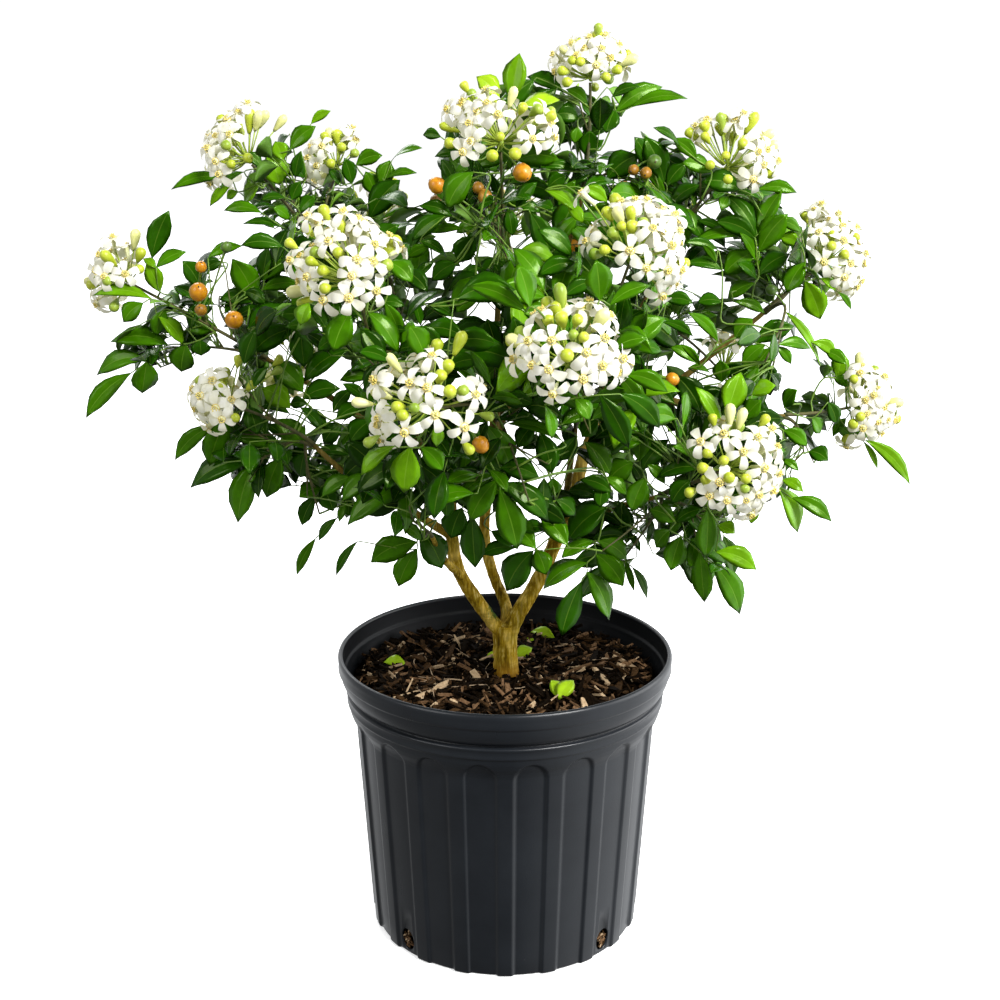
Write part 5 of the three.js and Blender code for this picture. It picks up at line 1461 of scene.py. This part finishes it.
def compound_leaf(plant, mass, start, tip, random):
    """A pinnate leaf: an arching stalk with leaflets set in turn along it and one at its end."""
    whole = length_of(tip - start)
    shortest, longest = END_LEAF_LENGTHS
    end_leaf = min(max(END_LEAF_SHARE * whole, shortest), longest) * drawn(random, *END_LEAF_VARIETY)
    if whole < end_leaf + SHORTEST_STALK:
        return 0
    straight = unit(tip - start)
    rise = 0.07 * whole * (0.5 + random())
    end = start + straight * (whole - end_leaf) + UP * rise * 0.6
    stalk = Bend(start, start + straight * 0.45 * (whole - end_leaf) + UP * rise, end)
    if crosses_sky(stalk, (0.1, 0.3, 0.5, 0.7, 0.9)):
        return 0
    outward = unit(end - CROWN_CENTRE)
    tilt = jitter(random) * 0.9
    sunward = vec(0, -1, 0) * min(1.0, max(0.0, (90 - end[1]) / 120))
    hint = UP * 0.42 + vec(outward[0], outward[1], 0) * 0.55 + sunward * 0.45 + tilt
    stem = length_of(end - start)
    leafy = min(stem - 9, drawn(random, *LEAFY_LENGTHS))
    number = max(2, int(leafy / drawn(random, *LEAFLET_STEPS)) + 1)
    tint = pick_tint(random, (end[2] - 300) / 400, length_of((end - CROWN_CENTRE) / CROWN_REACH))
    width_share = drawn(random, *LEAF_WIDTH_SHARES)
    hand = 1 if random() < 0.5 else -1
    kept, middles, furthest = [], [], 0.0
    final = unit(tip - end)
    if leaflet_fits(plant, mass, end, final, end_leaf, middles):
        kept.append((end, final, square_to(hint, final), end_leaf, end_leaf * width_share, None))
        middles.append(end + final * end_leaf * 0.5)
        furthest = 1.0
    for i in range(number):
        share = 1 - (6 + i * leafy / number) / stem
        if share <= 0.08:
            break
        root, along = stalk.at(share), stalk.tangent(share)
        facing = square_to(hint, along)
        side = np.cross(facing, along)
        lean = math.radians(drawn(random, *LEAFLET_LEANS))
        way = along * math.cos(lean) + side * hand * math.sin(lean) - UP * 0.22 * random()
        way = unit(way + facing * 0.25 * (random() - 0.4))
        hand = -hand
        length = end_leaf * (0.97 - 0.42 * i / number) * drawn(random, *LEAFLET_VARIETY)
        base = root + way * LEAFLET_STALK
        if not leaflet_fits(plant, mass, base, way, length, middles):
            continue
        roll = unit(facing - way * float(facing @ way) + side * 0.35 * (random() - 0.5))
        kept.append((base, way, roll, length, length * width_share * (0.95 + 0.1 * random()), root))
        middles.append(base + way * length * 0.5)
        furthest = max(furthest, share)
    if len(kept) < 2:
        return 0
    for base, way, facing, length, width, root in kept:
        plant.leaflet(base, way, facing, length, width, tint, random)
        if root is not None:
            plant.stalks.add(*tube([root, base + way * 1.2], [0.42, 0.34], 4))
    thick = 0.85 if stem > 70 else 0.7
    plant.stalks.add(*tapered(stalk, 5, thick, 0.58 * thick, 5, furthest))
    return len(kept)


def shown_leaf(plant, mass, depth, start, tint, leaflets, random):
    """A compound leaf that stands clear in the photograph, on a stalk from the nearest part of its leader."""
    root = on_plane(*start, depth)
    leader = mass["leader"]
    share = min((0.2 + 0.05 * i for i in range(17)), key=lambda at: length_of(leader.at(at) - root))
    near = leader.at(share)
    mass["used"] = max(mass["used"], share)
    bases = []
    for base_x, base_y, tip_x, tip_y, wide in leaflets:
        base = on_plane(base_x, base_y, depth + 5 * (random() - 0.5))
        tip = on_plane(tip_x, tip_y, depth + 16 * (random() - 0.5) - 3)
        length = length_of(tip - base)
        along = (tip - base) / length
        hint = unit(EYE - base) * 0.85 + UP * 0.30 + jitter(random) * 0.8
        width = wide * pixel(base)[2] / FOCAL_PIXELS
        own = tint if random() < 0.72 else OTHER_TINT[tint]
        plant.leaflet(base, along, square_to(hint, along), length, width * 1.04, own, random)
        for share in (0.35, 0.7):
            plant.mark(base + along * length * share, min(wide * 0.6, LEAF_MARK))
        bases.append(base)
    stalk = Spline([near, (near + root) / 2 + UP * 0.05 * length_of(root - near), root] + bases)
    plant.stalks.add(*tapered(stalk, 4 * (len(bases) + 2), *STALK_RADII, 5))
    return len(leaflets)


def side_twig(mass, share, turn, random):
    """A twig that leaves the leader and carries compound leaves of its own."""
    start, along = mass["leader"].at(share), mass["leader"].tangent(share)
    way = leant(along, math.radians(drawn(random, *TWIG_LEANS)), turn)
    length = drawn(random, *TWIG_LENGTHS)
    end = start + unit(way + UP * 0.12) * length
    if not in_reach(end, mass) or not clear_of_heads(end) or not clear_of_wood(end, 4):
        return None
    twig = Bend(start, start + way * length * 0.5, end)
    return None if crosses_sky(twig, (0.2, 0.4, 0.6, 0.8)) else twig


def grow_mass(plant, mass, index, leaflets):
    """Fills a mass with leaves along its leader and side twigs, then draws each as far as it bears one."""
    random = random_from(1000 + 37 * index)
    leader, bloom = mass["leader"], mass["bloom"]
    start = leader.at(0)
    forward = unit(mass["end"] - start)
    curves, forks, used = [leader], [1.0], [1.0 if bloom else mass["used"]]
    if leaflets == 0:
        tips = sorted((vec(*tip) for tip in mass["outline"]), key=lambda tip: float((tip - start) @ forward))
        for i, tip in enumerate(tips):
            share = 0.4 + 0.5 * (i + 0.5) / len(tips)
            grown = compound_leaf(plant, mass, leader.at(share), tip, random)
            leaflets += grown
            used[0] = max(used[0], share if grown else 0)
    phase = random()
    for i in range(SIDE_TWIGS):
        fork = FIRST_FORK + FORK_STEP * i
        twig = side_twig(mass, fork, 2 * math.pi * phase + TWIG_TURN * i, random)
        if twig:
            curves.append(twig)
            forks.append(fork)
            used.append(0.0)
    for i in range(FILL_TRIES):
        if leaflets >= LEAFLETS:
            break
        pick = i % len(curves)
        low = LEAFY_FROM[pick > 0]
        share = low + (LEAFY_TO - low) * ((phase + i * GOLDEN_SHARE) % 1)
        root, along = curves[pick].at(share), curves[pick].tangent(share)
        turn = 2 * math.pi * phase + i * GOLDEN_ANGLE
        way = leant(along, math.radians(drawn(random, *LEAF_LEANS)), turn)
        length = drawn(random, *LEAF_REACHES)
        grown = compound_leaf(plant, mass, root, root + unit(way - UP * 0.12) * length, random)
        leaflets += grown
        if grown:
            used[pick] = max(used[pick], share)
            used[0] = max(used[0], forks[pick] if pick else share)
    for pick, curve in enumerate(curves):
        if used[pick] == 0:
            continue
        steps, first, last, sides = (5, 0.85, 0.5, 6) if pick else (12, LEADER_RADIUS, LEADER_TIP_RADIUS, 8)
        if pick == 0 and not bloom:
            last = BARE_TIP_RADIUS
        plant.twigs.add(*tapered(curve, steps, first, last, sides, used[pick]))


# Blossom

PETAL_STATIONS = np.array([0.0, 0.16, 0.38, 0.62, 0.82, 0.94, 1.0])
PETAL_WIDTHS = np.array([0.34, 0.54, 0.80, 0.98, 1.0, 0.76, 0.30])
PETAL_ACROSS = np.array([-1.0, -0.5, 0.0, 0.5, 1.0])
PETAL_FACES = grid_faces(len(PETAL_STATIONS), len(PETAL_ACROSS))
PETAL_KINDS = [1] * 8 + [0] * (len(PETAL_FACES) - 8)
BUD_PROFILE = ((-0.5, 0.30), (-0.36, 0.48), (-0.12, 0.78), (0.12, 0.98), (0.3, 0.95), (0.43, 0.62))


def flower(plant, base, along, size, random):
    """Five broad petals that curl back round a short tube, with a yellow heart of stamens."""
    across, third = frame_round(along)
    turn = 2 * math.pi * random()
    open_ = drawn(random, *PETAL_OPENINGS)
    for petal_turn in turns(PETALS):
        out = swing(across, third, turn + petal_turn + 0.16 * (random() - 0.5))
        side = np.cross(along, out)
        curl = open_ + 0.35 * (random() - 0.5)
        reach = 0.5 * size * drawn(random, *FLOWER_VARIETY)
        u = PETAL_STATIONS
        outwards = 0.05 * size + reach * (u - 0.12 * u ** 3)
        upwards = reach * (0.30 * np.sin(1.7 * u) - 0.60 * curl * u ** 2.2)
        half = PETAL_WIDTHS * size * PETAL_HALF_WIDTH * drawn(random, *PETAL_VARIETY)
        cup = 0.16 * (1 - u) - 0.10 * u
        lean = 0.22 * (random() - 0.5)
        sideways = np.outer(half, PETAL_ACROSS)
        lift = upwards[:, None] + np.outer(half * cup, PETAL_ACROSS ** 2) * 2 + sideways * lean
        rows = base + outwards[:, None, None] * out + sideways[:, :, None] * side + lift[:, :, None] * along
        plant.petals.add(rows.reshape(-1, 3), PETAL_FACES, PETAL_KINDS)
    neck = [base + along * size * share for share in (-0.5, -0.2, 0.05)]
    plant.centres.add(*tube(neck, [size * share for share in (0.05, 0.075, 0.11)], 8), kinds=0)
    for k in range(STAMENS):
        out = swing(across, third, turn + 2 * math.pi * (k + 0.3) / STAMENS)
        head = base + out * size * 0.075 + along * size * (0.10 + 0.05 * random())
        plant.centres.add(*octahedron(head, unit(along + out * 0.4), size * 0.034, 1.6), kinds=1)
    plant.centres.add(*octahedron(base + along * size * 0.11, along, size * 0.04, 1.8), kinds=2)


def head_stalk(plant, mass, way, foot, radii):
    """A stalk from near a head's middle to the foot of a flower or a bud."""
    knob = mass["knob"]
    plant.head_stalks.add(*tube([knob + way * mass["bloom"] * 0.1, (knob + foot) / 2 - UP, foot], radii, 5))


def hang_flower(plant, mass, place, random):
    """A flower at a place on a head, turned outwards, on a stalk from the head's middle."""
    size = FLOWER_SIZE * drawn(random, *FLOWER_VARIETY)
    knob = mass["knob"]
    way = unit(place - knob)
    wander = jitter(random) * 0.5
    sunward = unit(EYE - knob) * (FACING_LIGHT if place[1] < knob[1] + 4 else 0)
    along = unit(way + wander + sunward)
    flower(plant, place, along, size, random)
    head_stalk(plant, mass, way, place - along * size * 0.48, (0.7, 0.55, 0.75))


def hang_bud(plant, mass, place, long_one, random):
    """A bud at a place on a head, round and lime while young and long and pale before it opens."""
    way = unit(place - mass["knob"] + jitter(random) * 6)
    radius = drawn(random, *BUD_RADII)
    length = radius * ((3.9 if long_one else 2.45) + 0.6 * random())
    kind = 1 if long_one and random() < 0.7 else 0 if random() < 0.75 else 2
    profile = [(share, radius * wide) for share, wide in BUD_PROFILE]
    plant.buds.add(*lathe(place, way, length, profile, 10), kinds=kind)
    foot = place - way * length * 0.46
    plant.buds.add(*egg(foot, way, 1.15, 2.4, 6), kinds=2)
    head_stalk(plant, mass, way, foot, (0.65, 0.5, 0.6))


def grow_head(plant, mass, index):
    """A head of blossom: stalks from the leader's end to flowers over a dome, with buds among them.
    The side that the photograph shows follows it, and the spiral of the source goes on round the rest."""
    random = random_from(5000 + 71 * index)
    bloom, axis, knob = mass["bloom"], mass["axis"], mass["knob"]
    flowers, buds = SHOWN.get(mass["name"], ([], []))
    shown = bool(flowers)
    for px, py in flowers:
        place = on_dome(px, py, knob, bloom * drawn(random, *FLOWER_DEPTHS))
        hang_flower(plant, mass, place, random)
        plant.mark(place, FLOWER_MARK)
    for px, py, *long_one in buds:
        place = on_dome(px, py, knob, bloom * drawn(random, *BUD_DEPTHS))
        hang_bud(plant, mass, place, bool(long_one), random)
        plant.mark(place, BUD_MARK)
    widest = math.radians(HEAD_ANGLE)
    cap = 2 * math.pi * (1 - math.cos(widest)) * bloom * bloom
    number = max(10, round(cap / FLOWER_AREA))
    phase = 2 * math.pi * random()
    groups = []
    for _ in range(BUD_GROUPS):
        lean, turn = widest * (0.2 + 0.6 * random()), 2 * math.pi * random()
        groups.append(leant(axis, lean, turn))
    to_eye = unit(EYE - knob)
    for i in range(number):
        lean = math.acos(1 - (1 - math.cos(widest)) * (i + 0.5) / number)
        way = unit(leant(axis, lean, phase + i * GOLDEN_ANGLE) + jitter(random) * 0.25)
        if shown:
            x, y, _ = pixel(knob + way * bloom)
            hidden = min(math.hypot(px - x, py - y) for px, py in flowers) < HIDDEN_PIXELS
            if float(way @ to_eye) > 0.12 or not hidden:
                continue
        grouped = max(float(way @ group) for group in groups) > math.cos(BUD_GROUP_ANGLE)
        if grouped or random() < 0.12:
            for _ in range(2 + int(2.4 * random())):
                lead = unit(way + jitter(random) * 0.5)
                place = knob + lead * bloom * drawn(random, *GROWN_BUD_DEPTHS)
                if shown or not on_sky(place, 4.0):
                    hang_bud(plant, mass, place, random() < 0.3, random)
        else:
            place = knob + way * bloom * drawn(random, *FLOWER_DEPTHS)
            if shown or not on_sky(place, 7.0):
                hang_flower(plant, mass, place, random)
    plant.head_stalks.add(*egg(knob, axis, bloom * 0.07, bloom * 0.2))


def grow_fruit(plant):
    """Hangs each fruit on a stalk from the nearest place on any leader."""
    places = [(mass, i / 20) for mass in MASSES for i in range(3, 21)]
    for place, kind, radius in FRUIT:
        at = vec(*place)
        bearer, share = min(places, key=lambda spot: length_of(spot[0]["leader"].at(spot[1]) - at))
        best = bearer["leader"].at(share)
        bearer["used"] = max(bearer["used"], share)
        away = unit(best - at)
        plant.fruit.add(*egg(at, away, radius, radius * FRUIT_SHAPE, sides=20), FRUIT_KINDS.index(kind))
        plant.mark(at, FRUIT_MARK)
        plant.fruit.add(*octahedron(at - away * radius * 1.04, away, 0.9, 0.5), kinds=len(FRUIT_KINDS))
        curve = Bend(best, (best + at) / 2 + UP * 3, at + away * radius * 0.9)
        plant.stalks.add(*tube([curve.at(i / 5) for i in range(6)], [0.8, 0.7, 0.65, 0.65, 0.8, 1.3], 6))


def drop_leaves(plant):
    """Lays the fallen leaves on the soil."""
    random = random_from(9)
    for (px, py), heading, rise, size, wide, height in FALLEN:
        base = on_level(px, py, 2, SOIL_TOP)
        base[2] = soil_height(base[0], base[1]) + height
        turn, lift = math.radians(heading), math.radians(rise)
        way = vec(math.cos(turn) * math.cos(lift), math.sin(turn) * math.cos(lift), math.sin(lift))
        facing = square_to(unit(vec(0.3 * (random() - 0.5), -0.8, 0.7)), way)
        points = leaflet_points(base, way, facing, size, size * wide, random)
        plant.leaves["young"].add(points, LEAF_FACES, LEAF_KINDS)


# Stage

def make_camera():
    data = bpy.data.cameras.new("camera")
    data.sensor_width = SENSOR
    data.lens = FOCAL_PIXELS * SENSOR / IMAGE_PIXELS
    data.clip_end = CAMERA_REACH
    camera = bpy.data.objects.new("camera", data)
    camera.location = (CAMERA_X * MM, CAMERA_Y * MM, CAMERA_HEIGHT * MM)
    camera.rotation_euler = (math.radians(90 - CAMERA_PITCH), 0, 0)
    bpy.context.scene.collection.objects.link(camera)
    bpy.context.scene.camera = camera


def make_lamp(name, place, target, size, power):
    data = bpy.data.lights.new(name, "AREA")
    data.shape = "DISK"
    data.size = size
    data.energy = power
    light = bpy.data.objects.new(name, data)
    light.location = place
    light.rotation_euler = (Vector(target) - Vector(place)).to_track_quat("-Z", "Y").to_euler()
    bpy.context.scene.collection.objects.link(light)


def make_floor():
    """A pale floor that glows brighter further from the pot, and lights nothing."""
    floor = Bunch()
    ring = [(FLOOR_RADIUS * math.cos(turn), FLOOR_RADIUS * math.sin(turn), 0) for turn in turns(FLOOR_SIDES)]
    floor.add(ring + [(0, 0, 0)], [(k, (k + 1) % FLOOR_SIDES, FLOOR_SIDES) for k in range(FLOOR_SIDES)])
    pale = shader("floor_paint", (0.9, 0.9, 0.9), 0.9, Emission_Color=(1, 1, 1, 1), Specular_IOR_Level=0.0)
    tree = pale.node_tree
    drive(pale, "Emission Strength", map_range(tree, distance_from(tree, vec(0, 0, 0)), *FLOOR_GLOW))
    ground = floor.build("floor", [pale], smooth=False)
    ground.visible_diffuse = False
    ground.visible_glossy = False


def make_world():
    """A white backdrop for the camera, and air round the plant that is lighter on some sides."""
    world = bpy.data.worlds.new("studio")
    world.use_nodes = True
    tree = world.node_tree
    backdrop, air = tree.nodes["Background"], tree.nodes.new("ShaderNodeBackground")
    backdrop.inputs["Color"].default_value = (1, 1, 1, 1)
    backdrop.inputs["Strength"].default_value = BACKDROP_LIGHT
    air.inputs["Color"].default_value = (0.96, 0.98, 1, 1)
    strength = None
    for axis, start, end, most in SIDE_LIGHTS:
        total = tree.nodes.new("ShaderNodeMath")
        total.inputs[0].default_value = AIR_LIGHT
        if strength:
            tree.links.new(strength, total.inputs[0])
        way = coordinate(tree, "Generated", axis)
        tree.links.new(map_range(tree, way, start, end, 0.0, most), total.inputs[1])
        strength = total.outputs["Value"]
    tree.links.new(strength, air.inputs["Strength"])
    ray, either = tree.nodes.new("ShaderNodeLightPath"), tree.nodes.new("ShaderNodeMixShader")
    tree.links.new(ray.outputs["Is Camera Ray"], either.inputs["Fac"])
    tree.links.new(air.outputs["Background"], either.inputs[1])
    tree.links.new(backdrop.outputs["Background"], either.inputs[2])
    tree.links.new(either.outputs["Shader"], tree.nodes["World Output"].inputs["Surface"])
    bpy.context.scene.world = world


# Making it all

make_camera()
make_floor()
make_world()
for lamp in LAMPS:
    make_lamp(*lamp)
bpy.context.scene.view_settings.view_transform = "Standard"
bpy.context.scene.view_settings.look = "None"

# The inside of the pot is a darker, less glossy copy of the outside's plastic: painted shade inside the wall.
pot = make_pot([plastic_material(), mottled("pot_inside_painted_shade", (0.0025, 0.003, 0.004), (0.005, 0.006, 0.008), 0.42,
                                            scale=14, Specular_IOR_Level=0.14)])
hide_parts("pot")
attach(pot, "root")

soil = make_soil(mottled("soil_dark", (0.0008, 0.0004, 0.0002), (0.006, 0.003, 0.001), 0.95, scale=300,
                         Specular_IOR_Level=0.0))
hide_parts("soil")
chips = make_chips([mottled("chip_" + name, dark, light, roughness, scale=500, Specular_IOR_Level=gloss)
                    for name, dark, light, roughness, gloss in CHIP_PAINTS])
roots = make_roots(mottled("root_pale", (0.25, 0.17, 0.10), (0.40, 0.29, 0.18), 0.8))
for piece in (soil, chips, roots):
    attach(piece, "root")

limbs = make_limbs(bark_material())
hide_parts(*LIMBS)
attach(limbs, "root")

plant = Foliage()
for number, mass in enumerate(HEADS):
    grow_head(plant, mass, number)
grow_fruit(plant)
by_name = {mass["name"]: mass for mass in MASSES}
shown_random = random_from(404)
borne = dict.fromkeys(by_name, 0)
for name, depth, start, tint, leaflets in SPRAYS:
    borne[name] += shown_leaf(plant, by_name[name], depth, start, tint, leaflets, shown_random)
plant.marks_array = np.array(plant.marks)
for number, mass in enumerate(MASSES):
    grow_mass(plant, mass, number, borne[mass["name"]])
drop_leaves(plant)

pieces = [bunch.build("leaves_" + tint, leaf_materials(tint, TINTS[tint]))
          for tint, bunch in plant.leaves.items()]
pieces.append(plant.twigs.build("twigs", [
    mottled("twig_bark", (0.036, 0.045, 0.008), (0.11, 0.098, 0.022), 0.7, scale=200),
]))
pieces.append(plant.stalks.build("leaf_stalks", [
    mottled("stalk_green", (0.07, 0.15, 0.008), (0.16, 0.28, 0.02), 0.5, scale=120),
]))
pieces.append(plant.head_stalks.build("head_stalks", [
    mottled("stalk_lime", (0.20, 0.30, 0.015), (0.38, 0.48, 0.05), 0.5, scale=120),
]))
# The cream petals also glow a little: a painted light that brightens and warms their shaded sides, in place
# of light shining through them.
pieces.append(plant.petals.build("petals", [
    mottled("petal_cream_glowing", (0.48, 0.47, 0.37), (0.59, 0.585, 0.58), 0.6, scale=140,
            Emission_Color=(1.0, 0.985, 0.66, 1), Emission_Strength=0.22),
    mottled("petal_foot", (0.74, 0.56, 0.16), (0.84, 0.72, 0.34), 0.55, scale=140),
]))
pieces.append(plant.centres.build("flower_centres", [
    mottled("flower_tube", (0.66, 0.68, 0.34), (0.82, 0.80, 0.54), 0.55),
    mottled("anther", (0.72, 0.56, 0.12), (0.88, 0.75, 0.26), 0.6),
    mottled("stigma", (0.50, 0.46, 0.05), (0.66, 0.60, 0.12), 0.5),
]))
pieces.append(plant.buds.build("buds", [
    mottled("bud_lime", (0.34, 0.42, 0.015), (0.54, 0.60, 0.045), 0.4),
    mottled("bud_pale", (0.66, 0.66, 0.20), (0.80, 0.79, 0.40), 0.45),
    mottled("bud_green", (0.20, 0.32, 0.02), (0.36, 0.46, 0.05), 0.4),
]))
pieces.append(plant.fruit.build("fruit", [
    mottled("fruit_ripe", (0.44, 0.155, 0.002), (0.66, 0.29, 0.006), 0.34, scale=260),
    mottled("fruit_dull", (0.20, 0.085, 0.003), (0.42, 0.20, 0.010), 0.42, scale=260),
    mottled("fruit_green", (0.05, 0.11, 0.012), (0.10, 0.19, 0.02), 0.4, scale=260),
    mottled("fruit_scar", (0.05, 0.03, 0.02), (0.10, 0.06, 0.03), 0.8),
]))
for piece in pieces:
    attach(piece, "root")
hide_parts(*["foliage_" + mass["name"] for mass in MASSES])
